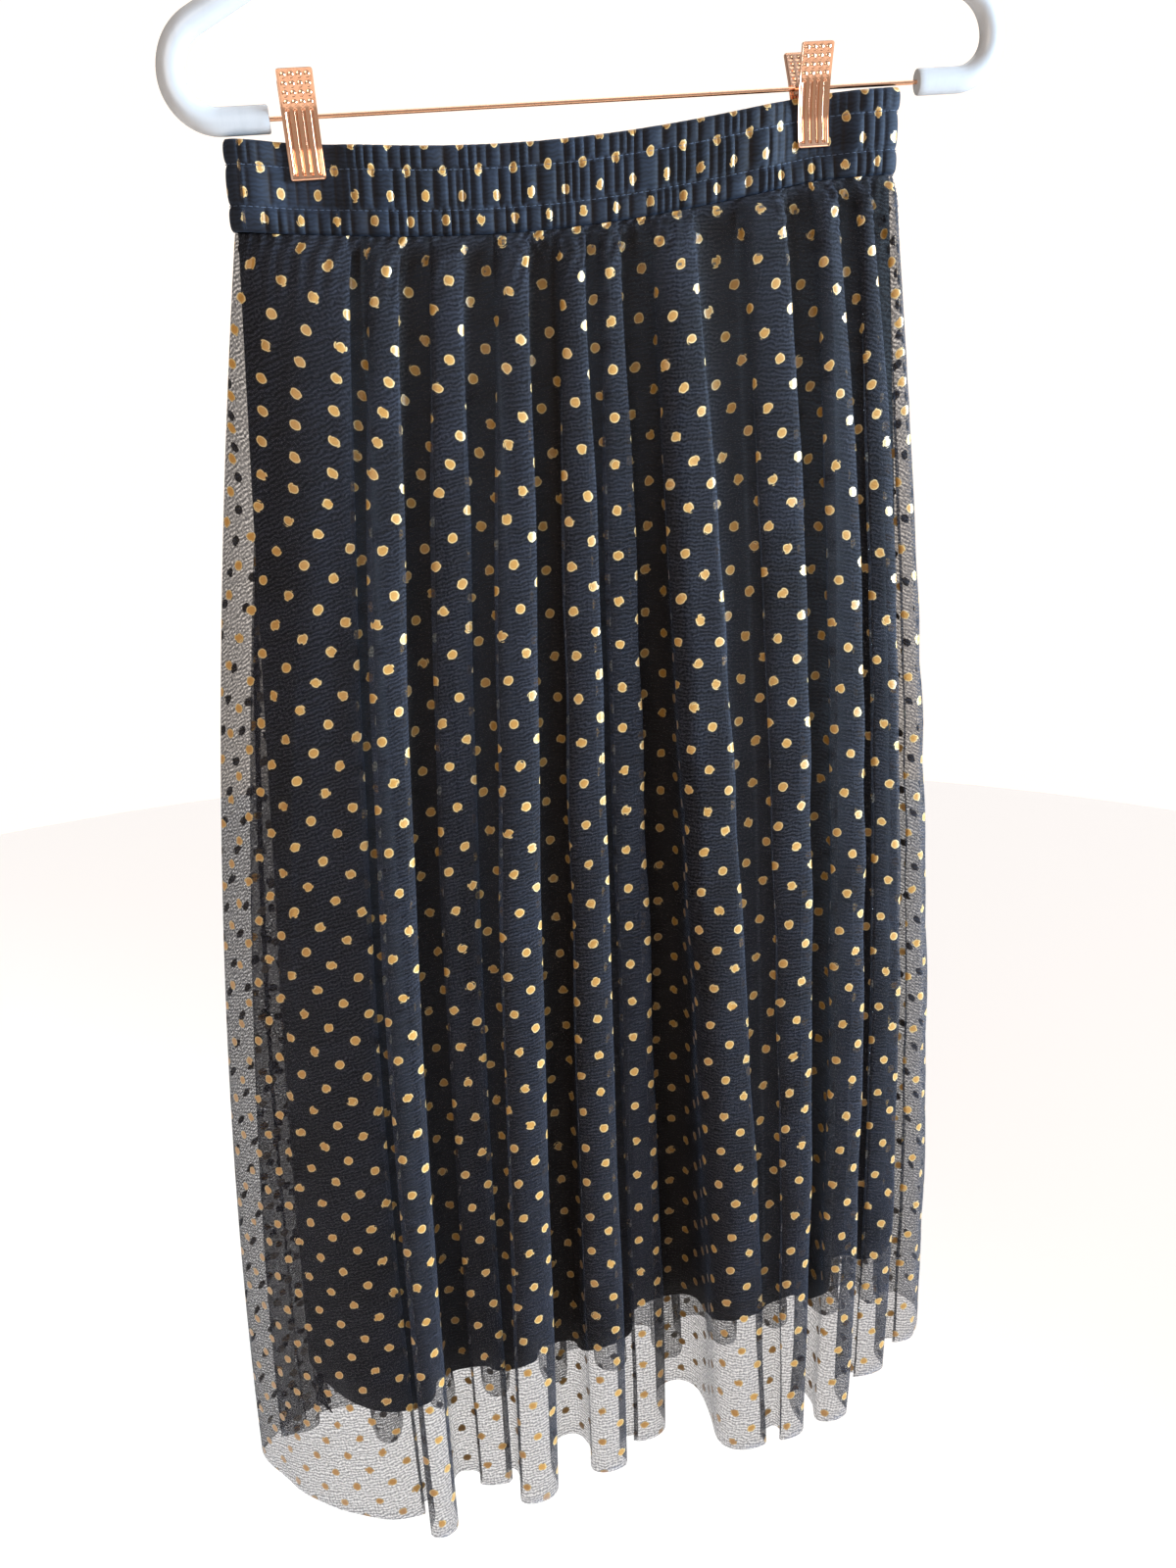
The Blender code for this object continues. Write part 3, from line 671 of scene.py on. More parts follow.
def sweep(bm: bmesh.types.BMesh, path: Sequence[Vector], radii: Sequence[tuple], sides: int,
          side_axis: Vector) -> None:
    """Sweep ellipses along a path and close both ends.

    Args:
        bm: The mesh to add to.
        path: Points along the middle.
        radii: Half width across the path and half depth along side_axis, for each point.
        sides: Points round each ellipse.
        side_axis: Direction of the ellipses' depth.
    """
    rings = []
    for index, point in enumerate(path):
        before, after = path[max(index - 1, 0)], path[min(index + 1, len(path) - 1)]
        along = (after - before).normalized()
        across = along.cross(side_axis).normalized()
        depth = across.cross(along)
        half_width, half_depth = radii[index]
        ring = []
        for k in range(sides):
            turn = 2 * math.pi * (k + 0.5) / sides
            ring.append(bm.verts.new(point + across * (half_width * math.cos(turn))
                                     + depth * (half_depth * math.sin(turn))))
        rings.append(ring)
    for upper, lower in zip(rings, rings[1:]):
        for k in range(sides):
            bm.faces.new((upper[k - 1], upper[k], lower[k], lower[k - 1]))
    bm.faces.new(rings[0])
    bm.faces.new(rings[-1])


def mesh_from(bm: bmesh.types.BMesh, name: str, material: bpy.types.Material,
              place: Matrix = Matrix.Identity(4)) -> bpy.types.Mesh:
    """Turn a bmesh into a smooth mesh with outward faces, moved into the frame."""
    bmesh.ops.recalc_face_normals(bm, faces=bm.faces)
    bm.transform(place)
    mesh = bpy.data.meshes.new(name)
    bm.to_mesh(mesh)
    bm.free()
    mesh.materials.append(material)
    mesh.shade_smooth()
    mesh.set_sharp_from_angle(angle=SHARP_ANGLE)
    return mesh


# Waist

@dataclass(frozen=True)
class WaistLine:
    """Where the waistband runs, measured from the middle of the bar."""

    left: float = -189 * MM
    right: float = 156 * MM
    top_left: float = -20.2 * MM
    rise: float = 0.081
    sag: float = 12.0 * MM
    sag_span: float = 300 * MM
    height: float = 41 * MM
    half_depth: float = 5.0 * MM
    pinched: float = 0.6 * MM
    wall: float = 1.3 * MM
    pinch_reach: float = 19 * MM
    pinch_drop: float = 27 * MM
    pinch_at_seam: float = 0.2
    flattened: float = 0.75

    def top(self, x: Array) -> Array:
        """Height of the top edge, which sags between the clips."""
        along = np.clip((x - self.left) / self.sag_span, 0, 1)
        return self.top_left + self.rise * (x - self.left) - self.sag * np.sin(math.pi * along)

    def pinch(self, x: Array, drop: Array) -> Array:
        """How far a clip presses the band flat, 0 to 1, at a depth below its top edge."""
        below = np.maximum(drop - self.pinch_drop, 0) / (self.height - self.pinch_drop)
        near = np.max([np.exp(-((x - place) / self.pinch_reach) ** 4) for place in CLIPS_X.values()], axis=0)
        return near * mix(1, self.pinch_at_seam, below)

    def free(self, x: Array, drop: Array) -> Array:
        """Share of the gathers' height that the clips leave."""
        return 1 - self.flattened * self.pinch(x, drop)

    def room(self, x: Array, drop: Array) -> Array:
        """Half the room inside the band, away from its two ends."""
        return mix(self.half_depth, self.pinched, self.pinch(x, drop))


WAIST = WaistLine()


@dataclass
class Waistband:
    """Ring of net shirred over three elastic tunnels, with two rows of stitches."""

    finishes: Wardrobe
    stitch_rows: tuple = (11 * MM, 29.5 * MM)
    rib_height: float = 2.9 * MM
    rib_at_stitches: float = 0.45
    rib_flatness: float = 3.0
    rib_fullness: float = 0.8
    rib_count: int = 116
    rib_steps: int = 8
    tunnel_steps: int = 9
    tunnel_puff: float = 0.9 * MM
    inside_ripple: float = 0.15 * MM
    shirring: float = 1.36
    print_stretch: float = 1.04
    calm_ends: float = 24 * MM
    stitch_length: float = 2.3 * MM
    stitch_pitch: float = 3.1 * MM
    thread_radius: float = 0.16 * MM
    flat_cut: tuple = (0.940, 0.041)

    def loop(self, distance: Array) -> tuple[Array, Array, Array, Array]:
        """Plan point and outward normal on the plain inside, before it is pinched.

        Args:
            distance: Metres round the band from the front left corner.

        Returns:
            X, Y and the two parts of the normal.
        """
        radius = WAIST.half_depth
        straight = self.straight()
        left, right = WAIST.left + radius + WAIST.wall, WAIST.right - radius - WAIST.wall
        turn_length = math.pi * radius
        distance = np.mod(distance, self.length())
        on_right = np.clip((distance - straight) / radius, 0, math.pi)
        on_left = np.clip((distance - 2 * straight - turn_length) / radius, 0, math.pi)
        front = distance < straight
        right_turn = (distance >= straight) & (distance < straight + turn_length)
        back = (distance >= straight + turn_length) & (distance < 2 * straight + turn_length)
        parts = (front, right_turn, back)
        angle = np.select(parts, (0 * distance, on_right, math.pi + 0 * distance), math.pi + on_left)
        nx, ny = np.sin(angle), -np.cos(angle)
        along_back = right - (distance - straight - turn_length)
        middle = np.select(parts, (left + distance, right + 0 * distance, along_back), left)
        return middle + radius * np.where(front | back, 0, nx), radius * ny, nx, ny

    @staticmethod
    def straight() -> float:
        """Length of the band's straight front."""
        return WAIST.right - WAIST.left - 2 * (WAIST.half_depth + WAIST.wall)

    def length(self) -> float:
        """Length round the band's inside."""
        return 2 * self.straight() + 2 * math.pi * WAIST.half_depth

    def surface(self, distance: Array, drop: Array, proud: Array) -> Array:
        """Points of the band, `proud` metres outside its plain inside."""
        x, y, nx, ny = self.loop(distance)
        y = y * WAIST.room(x, drop) / WAIST.half_depth
        points = np.stack([x + nx * proud, y + ny * proud, WAIST.top(x) - drop], axis=-1)
        return points + np.array(BAR_MIDDLE)

    def ribs(self, distance: Array, tunnel: int) -> Array:
        """Height of the gathers, 0 in a valley to 1 on a crest, uneven in width and height."""
        pitch = self.length() / self.rib_count
        turns = distance / pitch
        drift = 0.42 * np.sin(turns * 0.61 + tunnel * 1.7) + 0.30 * np.sin(turns * 1.37 + tunnel * 0.9)
        phase = turns + drift
        number = np.floor(phase)
        local = phase - number
        size = mix(0.55, 1.0, chance(number, 3.1 + tunnel))
        return size * (1 - np.abs(2 * local - 1) ** self.rib_flatness) ** self.rib_fullness

    def build(self) -> bpy.types.Object:
        """Build the ring.

        Returns:
            The waistband's piece.
        """
        columns = self.rib_count * self.rib_steps
        distance = self.length() * np.arange(columns) / columns
        x = self.loop(distance)[0]
        edges = (0.0, *self.stitch_rows, WAIST.height)
        calm = smooth(np.minimum(x - WAIST.left, WAIST.right - x), 0, self.calm_ends)
        outer, inner, cloth, sunk = [], [], [], []
        last_tunnel = len(edges) - 2
        for tunnel, (upper, lower) in enumerate(zip(edges, edges[1:])):
            for step in range(self.tunnel_steps + (tunnel == last_tunnel)):
                t = step / self.tunnel_steps
                drop = np.full(columns, mix(upper, lower, t))
                puff = (1 - abs(2 * t - 1) ** 2.4) ** 0.6
                free = WAIST.free(x, drop)
                crest = self.ribs(distance, tunnel)
                rib = self.rib_height * mix(0.35, 1.0, calm) * crest * mix(self.rib_at_stitches, 1.0, puff)
                proud = WAIST.wall + free * (rib + self.tunnel_puff * puff)
                outer.append(self.surface(distance, drop, proud))
                inner.append(self.surface(distance, drop, self.inside_ripple * np.sin(distance / (1.1 * MM))))
                cloth.append(np.stack([distance * self.shirring, -drop * self.print_stretch], axis=-1))
                # Painted shade: the rib valleys are darkened, less near the band's ends and at the stitch
                # rows
                sunk.append((1 - crest) ** 2 * mix(0.4, 1.0, calm) * mix(0.7, 1.0, puff))
        grid = ShellGrid(np.array(outer), np.array(inner), np.array(cloth), np.array(sunk))
        mesh = shell_mesh("waistband_cloth", grid, True, (self.finishes.band, self.finishes.band_inside))
        piece = place_piece("waistband_cloth", mesh, ["waistband"])
        self.stitches()
        return piece

    def stitches(self) -> bpy.types.Object:
        """Two rows of short threads that follow the ribs."""
        bm = bmesh.new()
        count = int(self.length() / self.stitch_pitch)
        for row, drop in enumerate(self.stitch_rows):
            for number in range(count):
                start = self.length() * (number + 0.5 * row) / count
                spots = start + self.stitch_length * np.linspace(0, 1, 4)
                x = self.loop(spots)[0]
                free = WAIST.free(x, np.full(4, drop))
                rib = self.rib_height * self.rib_at_stitches * self.ribs(spots, row + 1)
                lift = np.array([-0.1, 0.16, 0.16, -0.1]) * MM
                line = self.surface(spots, np.full(4, drop), WAIST.wall + free * rib + lift)
                path = [Vector(point) for point in line]
                sweep(bm, path, [(self.thread_radius, self.thread_radius)] * 4, 5, Vector((0, 0, 1)))
        mesh = mesh_from(bm, "waistband_stitches", self.finishes.thread)
        return place_piece("waistband_stitches", mesh)


# Panels

class Fold(NamedTuple):
    """One crest or hollow of a panel, placed from the left side seam."""

    name: str
    at_seam: float
    at_hem: float
    depth_at_hem: float
    crest: bool


class Crease(NamedTuple):
    """One soft ridge or trough, placed as a share of the panel's cloth from its left side."""

    name: str
    at_top: float
    at_bottom: float
    top: float
    bottom: float
    width: float
    depth: float


# Millimetres along the waist seam and the hem, and out from the side seams' plane
NET_FRONT_FOLDS = (
    Fold("wide panel", 50, 99, 73, True),
    Fold("hollow beside the panel", 59, 105, 62, False),
    Fold("foremost tube", 70, 113, 91, True),
    Fold("hollow", 88, 130, 44, False),
    Fold("flat fold", 103, 154, 60, True),
    Fold("hollow", 119, 162, 50, False),
    Fold("second tube", 137, 172, 81, True),
    Fold("recess", 151, 205, 32, False),
    Fold("centre tube", 169, 226, 70, True),
    Fold("crease", 177, 244, 46, False),
    Fold("small tube", 185, 253, 52, True),
    Fold("deep recess", 198, 284, 7, False),
    Fold("broad fold", 218, 318, 80, True),
    Fold("crease", 243, 335, 69, False),
    Fold("third tube", 270, 344, 86, True),
    Fold("hollow", 288, 359, 52, False),
    Fold("fourth tube", 303, 372, 84, True),
    Fold("hollow", 314, 396, 48, False),
    Fold("side fold", 323, 410, 54, True),
    Fold("hollow", 331, 436, 26, False),
    Fold("last fold", 338, 449, 31, True),
)
NET_BACK_FOLDS = (
    Fold("doubled fold", 14, 46, 32, True),
    Fold("tuck under it", 15, 12, 10, False),
    Fold("fold", 27, 64, 28, True),
    Fold("forward hollow", 42, 84, -11, False),
    Fold("fold", 55, 105, 40, True),
    Fold("hollow", 66, 123, 11, False),
    Fold("fold", 82, 143, 48, True),
    Fold("hollow", 96, 163, 14, False),
    Fold("fold", 112, 184, 52, True),
    Fold("hollow", 128, 206, 16, False),
    Fold("fold", 141, 224, 44, True),
    Fold("hollow", 157, 248, 15, False),
    Fold("fold", 172, 270, 54, True),
    Fold("hollow", 188, 291, 14, False),
    Fold("fold", 204, 311, 50, True),
    Fold("hollow", 218, 333, 13, False),
    Fold("fold", 233, 352, 46, True),
    Fold("hollow", 247, 371, 15, False),
    Fold("fold", 262, 392, 48, True),
    Fold("hollow", 279, 411, 12, False),
    Fold("fold", 294, 430, 36, True),
    Fold("hollow", 308, 443, 11, False),
    Fold("fold", 324, 456, 20, True),
)
LINING_FRONT_FOLDS = (
    Fold("wave", 38, 58, 56, True),
    Fold("hollow", 78, 101, 28, False),
    Fold("wave", 108, 133, 36, True),
    Fold("hollow", 143, 165, 21, False),
    Fold("wave", 168, 187, 36, True),
    Fold("hollow", 203, 243, 3, False),
    Fold("wave", 238, 287, 42, True),
    Fold("hollow", 268, 317, 36, False),
    Fold("wave", 295, 336, 46, True),
    Fold("hollow", 318, 365, 14, False),
    Fold("wave", 330, 387, 22, True),
)
LINING_BACK_FOLDS = (
    Fold("turn", 8, 6, 3, True),
    Fold("forward tuck", 32, 40, -28, False),
    Fold("wave", 74, 86, 3, True),
    Fold("hollow", 108, 126, -6, False),
    Fold("wave", 150, 168, 6, True),
    Fold("hollow", 190, 205, 1, False),
    Fold("wave", 230, 255, 6, True),
    Fold("hollow", 268, 300, -4, False),
    Fold("wave", 300, 350, 3, True),
)

# Shares of the cloth across and down, then millimetres of width and depth; a trough is below zero
NET_FRONT_CREASES = (
    Crease("drag line from the left clip", 0.070, 0.030, 0.00, 0.30, 5.0, -1.1),
    Crease("pulled thread line", 0.075, 0.062, 0.22, 0.80, 2.2, 1.7),
    Crease("soft trough of the wide panel", 0.105, 0.100, 0.05, 0.55, 8.0, -1.2),
    Crease("gather beside the clip", 0.140, 0.128, 0.00, 0.16, 3.0, 0.8),
    Crease("line on the foremost tube", 0.215, 0.205, 0.10, 0.70, 3.4, -0.7),
    Crease("short gather", 0.255, 0.262, 0.00, 0.12, 3.0, 0.9),
    Crease("line on the flat fold", 0.310, 0.318, 0.18, 0.90, 4.2, -0.8),
    Crease("short gather", 0.352, 0.350, 0.00, 0.22, 2.8, -0.8),
    Crease("line on the second tube", 0.405, 0.398, 0.12, 0.62, 3.0, 0.7),
    Crease("centre gather", 0.470, 0.476, 0.00, 0.34, 3.2, -0.9),
    Crease("line on the centre tube", 0.505, 0.497, 0.30, 0.95, 3.6, 0.8),
    Crease("gather by the recess", 0.575, 0.566, 0.00, 0.20, 3.0, 0.8),
    Crease("broad fold's trough", 0.640, 0.655, 0.08, 0.60, 7.0, -1.3),
    Crease("broad fold's ridge", 0.690, 0.684, 0.35, 0.98, 4.0, 0.9),
    Crease("short gather", 0.765, 0.770, 0.00, 0.18, 2.6, 0.9),
    Crease("line on the third tube", 0.800, 0.792, 0.25, 0.85, 3.2, -0.7),
    Crease("gather under the right clip", 0.850, 0.842, 0.00, 0.26, 3.4, -0.9),
    Crease("side fold's line", 0.905, 0.910, 0.10, 0.75, 3.0, 0.8),
    Crease("thin pleat by the side", 0.945, 0.952, 0.20, 1.00, 2.2, 1.0),
    Crease("second thin pleat", 0.970, 0.972, 0.30, 1.00, 2.0, -0.9),
)
NET_BACK_CREASES = (
    Crease("thin pleat by the side", 0.030, 0.026, 0.15, 1.00, 2.4, 0.9),
    Crease("short gather", 0.100, 0.108, 0.00, 0.20, 3.0, -0.9),
    Crease("soft trough", 0.180, 0.172, 0.10, 0.66, 6.0, -1.1),
    Crease("gather", 0.265, 0.270, 0.00, 0.28, 3.2, 0.8),
    Crease("ridge", 0.345, 0.338, 0.30, 0.92, 4.0, 0.9),
    Crease("short gather", 0.430, 0.438, 0.00, 0.16, 2.8, -0.8),
    Crease("soft trough", 0.520, 0.512, 0.12, 0.58, 5.4, -1.0),
    Crease("gather", 0.600, 0.594, 0.00, 0.32, 3.0, 0.9),
    Crease("ridge", 0.690, 0.698, 0.28, 0.88, 4.4, 0.8),
    Crease("short gather", 0.780, 0.774, 0.00, 0.20, 2.6, -0.9),
    Crease("soft trough", 0.865, 0.872, 0.20, 0.80, 5.0, -1.0),
    Crease("thin pleat by the side", 0.965, 0.970, 0.10, 1.00, 2.2, 0.9),
)
LINING_CREASES = (
    Crease("soft fold", 0.15, 0.17, 0.00, 0.70, 7.0, -0.7),
    Crease("soft fold", 0.37, 0.35, 0.10, 0.90, 8.0, 0.7),
    Crease("soft fold", 0.62, 0.64, 0.00, 0.60, 6.0, -0.7),
    Crease("soft fold", 0.84, 0.82, 0.20, 1.00, 7.0, 0.7),
)


@dataclass(frozen=True)
class Cut:
    """Sizes that the front and back panel of one cloth share."""

    length: float
    seam_width: float
    hem_width: float
    left: Callable[[float], float]
    right: Callable[[float], float]
    seat: float
    gather: float
    thickness: float
    ripple: float
    flat: tuple
    flat_area: float
    slot: str


def flare(fall: float, curve: float) -> float:
    """Share of the flare reached at a fall of 0 at the seam to 1 at the hem."""
    return 1 - (1 - fall) ** curve


SOLID_WALL = 1.0 * MM
SEAM_WIDTH = 344 * MM
NET_HEM_WIDTH = 471 * MM
NET_LEFT_FLARE = 61.5 * MM
LINING_INSET = 1.5 * MM
LINING_HEM_WIDTH = 412 * MM
LINING_LEFT_FLARE = 26 * MM


def net_left(fall: float) -> float:
    """Left side seam of the net."""
    return WAIST.left + SOLID_WALL / 2 - NET_LEFT_FLARE * flare(fall, 2.0)


def net_right(fall: float) -> float:
    """Right side seam of the net."""
    swing = NET_HEM_WIDTH - SEAM_WIDTH - NET_LEFT_FLARE
    return WAIST.left + SOLID_WALL / 2 + SEAM_WIDTH + swing * flare(fall, 1.65)


def lining_left(fall: float) -> float:
    """Left side seam of the lining."""
    return net_left(0) + LINING_INSET - LINING_LEFT_FLARE * flare(fall, 1.3)


def lining_right(fall: float) -> float:
    """Right side seam of the lining."""
    swing = LINING_HEM_WIDTH - SEAM_WIDTH + 2 * LINING_INSET - LINING_LEFT_FLARE
    return net_right(0) - LINING_INSET + swing * flare(fall, 1.3)


NET_CUT = Cut(757 * MM, SEAM_WIDTH, NET_HEM_WIDTH, net_left, net_right, 2.2 * MM, 7 * MM,
              0.22 * MM, 0.7 * MM, (1.02, 0.80), 0.62, "dotted_net")
LINING_CUT = Cut(688 * MM, SEAM_WIDTH - 2 * LINING_INSET, LINING_HEM_WIDTH, lining_left, lining_right,
                 0.5 * MM, 0.0, 0.30 * MM, 0.25 * MM, (0.55, 0.70), 0.31, "lining_fabric")


@dataclass
class ClothPanel:
    """Front or back half of the net or the lining, hung from the waist seam."""

    name: str
    side: Side
    cut: Cut
    folds: tuple
    creases: tuple
    outside: bpy.types.Material
    inside: bpy.types.Material
    spacing: float = 2.7 * MM
    least_steps: int = 6
    levels: int = 106
    crowding: float = 1.7
    depth_curve: float = 0.8
    roundness: float = 0.9
    fold_over: float = 4.0 * MM
    most_over: float = 3.2
    side_x_power: float = 0.95
    side_y_power: float = 1.6
    tuck_in: float = 0.016
    seam_gather: float = 1.0 * MM
    seam_gather_pitch: float = 7.0 * MM
    seam_gather_reach: float = 0.06
    # Depths behind the crests over which the painted shade in the folds grows, at the seam and at the hem
    hollow_at_seam: float = 6 * MM
    hollow_at_hem: float = 26 * MM
    rests_on: tuple = ("waistband_cloth",)

    def knots(self, fall: float) -> tuple[list[float], list[float]]:
        """Places of the side seams, the crests and the hollows, seen from above.

        Args:
            fall: 0 at the waist seam to 1 at the hem.

        Returns:
            X and the distance out from the side seams' plane, for each knot.
        """
        cut = self.cut
        left, right = cut.left(fall), cut.right(fall)
        deep = fall ** self.depth_curve
        out = cut.gather * mix(0.12, 1.0, float(smooth(fall, 0, self.tuck_in)))
        xs, ys = [left], [GAP / 2]
        for fold in self.folds:
            share = mix(fold.at_seam * MM / cut.seam_width, fold.at_hem * MM / cut.hem_width, fall)
            seam_x = cut.left(0) + fold.at_seam * MM
            room = float(WAIST.room(np.array(seam_x), np.array(WAIST.height)))
            xs.append(mix(left, right, share))
            ys.append(mix(room + cut.seat + out * fold.crest, fold.depth_at_hem * MM, deep))
        xs.append(right)
        ys.append(GAP / 2)
        return xs, ys

    def reach(self, index: int, t: Array, fall: float, width: float) -> tuple[Array, Array]:
        """How far the cloth has come from one knot to the next, across and out, 0 to 1.

        Args:
            index: Number of the first knot.
            t: 0 at the first knot to 1 at the next.
            fall: 0 at the waist seam to 1 at the hem.
            width: Distance between the knots across the panel.

        Returns:
            The share across and the share out. Beside a crest the share across runs
            ahead and then back, where the crest folds over its own sides.
        """
        if index == 0:
            return ((1 - np.cos(math.pi / 2 * t)) ** self.side_x_power,
                    np.sin(math.pi / 2 * t) ** self.side_y_power)
        if index == len(self.folds):
            return (1 - (1 - np.sin(math.pi / 2 * t)) ** self.side_x_power,
                    1 - np.abs(np.cos(math.pi / 2 * t)) ** self.side_y_power)
        from_crest = self.folds[index - 1].crest
        over = min(2 * math.pi * self.fold_over / width, self.most_over) * float(smooth(fall, 0.01, 0.20))
        near_crest = 1 - smooth(t, 0.2, 0.7) if from_crest else smooth(t, 0.3, 0.8)
        wave = np.sin(2 * math.pi * t) / (2 * math.pi)
        return t + (self.roundness + over * near_crest) * wave, (1 - np.cos(math.pi * t)) / 2

    def steps(self) -> list[int]:
        """Steps between neighbouring knots, so that points lie about evenly along the hem."""
        xs, ys = self.knots(1.0)
        fine = np.linspace(0, 1, 65)
        counts = []
        for index in range(len(xs) - 1):
            u, v = self.reach(index, fine, 1.0, xs[index + 1] - xs[index])
            across, out = mix(xs[index], xs[index + 1], u), mix(ys[index], ys[index + 1], v)
            run = float(np.hypot(np.diff(across), np.diff(out)).sum())
            counts.append(max(self.least_steps, round(run / self.spacing)))
        return counts

    def plan_line(self, fall: float, steps: Sequence[int]) -> tuple[Array, Array]:
        """The panel's middle line seen from above, with the given steps between knots."""
        xs, ys = self.knots(fall)
        line_x, line_y = [np.array([xs[0]])], [np.array([ys[0]])]
        for index, count in enumerate(steps):
            t = np.arange(1, count + 1) / count
            u, v = self.reach(index, t, fall, max(abs(xs[index + 1] - xs[index]), MM))
            line_x.append(mix(xs[index], xs[index + 1], u))
            line_y.append(mix(ys[index], ys[index + 1], v))
        return np.concatenate(line_x), np.concatenate(line_y)

    def falls(self) -> Array:
        """Levels from the seam to the hem, closer together near the seam."""
        return (np.arange(self.levels + 1) / self.levels) ** self.crowding

    @staticmethod
    def normals(x: Array, y: Array) -> tuple[Array, Array]:
        """Plan normals away from the wearer, square to the side seams at both ends."""
        dx, dy = np.gradient(x), np.gradient(y)
        size = np.hypot(dx, dy)
        nx, ny = -dy / size, dx / size
        nx[0], ny[0], nx[-1], ny[-1] = -1, 0, 1, 0
        return nx, ny

    def relief(self, along: Array, total: float, fall: float) -> Array:
        """Gathers at the seam, soft ripples and creases, in metres along the normal."""
        share = along / total
        fade = 1 - smooth(fall, 0, self.seam_gather_reach)
        wave = np.sin(2 * math.pi * along / self.seam_gather_pitch + 2.1 * np.sin(share * 31))
        height = self.seam_gather * fade * wave * (fall > 0)
        drift = 0.9 * math.sin(fall * 5.1 + self.side.value)
        grown = smooth(fall, 0.02, 0.45)
        slow = np.sin(along / (9.1 * MM) + 3.0 * drift + 4.0 * fall)
        quick = np.sin(along / (5.3 * MM) - 7.0 * fall)
        height = height + self.cut.ripple * grown * (0.6 * slow + 0.4 * quick)
        for crease in self.creases:
            if not crease.top <= fall <= crease.bottom:
                continue
            part = (fall - crease.top) / (crease.bottom - crease.top)
            begins = smooth(part, 0 if crease.top > 0 else -0.3, 0.3)
            ends = 1 - smooth(part, 0.7, 1 if crease.bottom < 1 else 1.4)
            away = (along - mix(crease.at_top, crease.at_bottom, part) * total) / (crease.width * MM)
            height = height + crease.depth * MM * begins * ends * np.exp(-away ** 2)
        sides = smooth(np.minimum(along, total - along), 0, 6 * MM)
        return height * sides

    def sunk(self, x: Array, y: Array, fall: float) -> Array:
        """Painted shade at the points of a level, from how deep they lie behind the crests on either side, 0
        to 1.
        """
        knot_x, knot_y = self.knots(fall)
        crests = [0, *(1 + index for index, fold in enumerate(self.folds) if fold.crest), len(knot_x) - 1]
        front = np.interp(x, np.array(knot_x)[crests], np.array(knot_y)[crests])
        return smooth((front - y) / mix(self.hollow_at_seam, self.hollow_at_hem, fall ** 0.6), 0.1, 1.1)

    def flat_place(self, along: Array, middle: float, fall: float, first: float, last: float) -> Array:
        """Where points lie on the flared cut, a sector of a ring, with its grain upright at the middle.

        Args:
            along: Metres along the level from the left side.
            middle: The same for the middle of the panel.
            fall: 0 at the waist seam to 1 at the hem.
            first: Length of the cloth along the seam.
            last: Length of the cloth along the hem.

        Returns:
            Across and down, in metres, for each point.
        """
        angle = (last - first) / self.cut.length
        radius = first / angle + fall * self.cut.length
        turn = (along - middle) / radius
        return np.stack([radius * np.sin(turn), first / angle - radius * np.cos(turn)], axis=-1)

    def build(self) -> bpy.types.Object:
        """Build the panel.

        Returns:
            The panel's piece.
        """
        falls = self.falls()
        steps = self.steps()
        lines = [self.plan_line(float(fall), steps) for fall in falls]
        arcs = [np.concatenate([[0], np.cumsum(np.hypot(np.diff(x), np.diff(y)))]) for x, y in lines]
        tucked = int(np.searchsorted(falls, self.tuck_in)) + 1
        seam_x = lines[0][0]
        tops = WAIST.top(seam_x) - WAIST.height - GAP
        middle = sum(steps[:len(steps) // 2])
        outer, inner, cloth, sunk = [], [], [], []
        for level, (level_fall, (x, y), along) in enumerate(zip(falls, lines, arcs)):
            fall = float(level_fall)
            nx, ny = self.normals(x, y)
            lift = self.relief(along, along[-1], fall)
            z = tops - fall * self.cut.length
            for rows, shift in ((outer, self.cut.thickness / 2), (inner, -self.cut.thickness / 2)):
                reach = lift + shift
                rows.append(np.stack([x + nx * reach, self.side.value * (y + ny * reach), z], axis=-1)
                            + np.array(BAR_MIDDLE))
            sunk.append(self.sunk(x, y, fall))
            laid = arcs[max(level, tucked)]
            cloth.append(self.flat_place(laid, laid[middle], fall, arcs[tucked][-1], arcs[-1][-1]))
        grid = ShellGrid(np.array(outer), np.array(inner), np.array(cloth), np.array(sunk))
        if self.side is Side.FRONT:
            grid = ShellGrid(*(rows[:, ::-1] for rows in grid))
        mesh = shell_mesh(f"{self.name}_cloth", grid, False, (self.outside, self.inside))
        piece = place_piece(f"{self.name}_cloth", mesh, [self.name])
        return piece


# Frayed end of the lining's left seam: where it starts, its threads, their lengths and half sizes
SEAM_END = Vector((-0.1925, -0.020, -0.953))
SEAM_END_THREADS = 9
SEAM_END_POINTS = 10
SEAM_END_WIDTH = 4 * MM
SEAM_END_LENGTHS = (20, 37)
SEAM_END_SECTION = (0.55 * MM, 0.4 * MM)


def build_seam_end(finishes: Wardrobe) -> None:
    """Hang the frayed end of the lining's seam below its left corner."""
    bm = bmesh.new()
    for number in range(SEAM_END_THREADS):
        spread = (chance(number, 0.7) - 0.5) * SEAM_END_WIDTH
        length = mix(*SEAM_END_LENGTHS, chance(number, 5.3)) * MM
        path = []
        for t in np.linspace(0, 1, SEAM_END_POINTS):
            waver = 1.1 * MM * math.sin(9 * t + 2.3 * number)
            hook = 5 * MM * max(t - 0.7, 0) / 0.3
            path.append(SEAM_END + Vector((spread * (1 - 0.4 * t) + waver + hook, spread * 0.4, -length * t)))
        sweep(bm, path, [SEAM_END_SECTION] * SEAM_END_POINTS, 4, OUT_OF_PLANE)
    mesh = mesh_from(bm, "lining_seam_end", finishes.lining)
    place_piece("lining_seam_end", mesh)


# Hanger

def arc(centre: Vector, radius: float, start: float, end: float, steps: int) -> list[Vector]:
    """Points of an arc in the XZ plane, both ends included."""
    angles = [mix(start, end, k / steps) for k in range(steps + 1)]
    return [centre + Vector((math.cos(a), 0, math.sin(a))) * radius for a in angles]


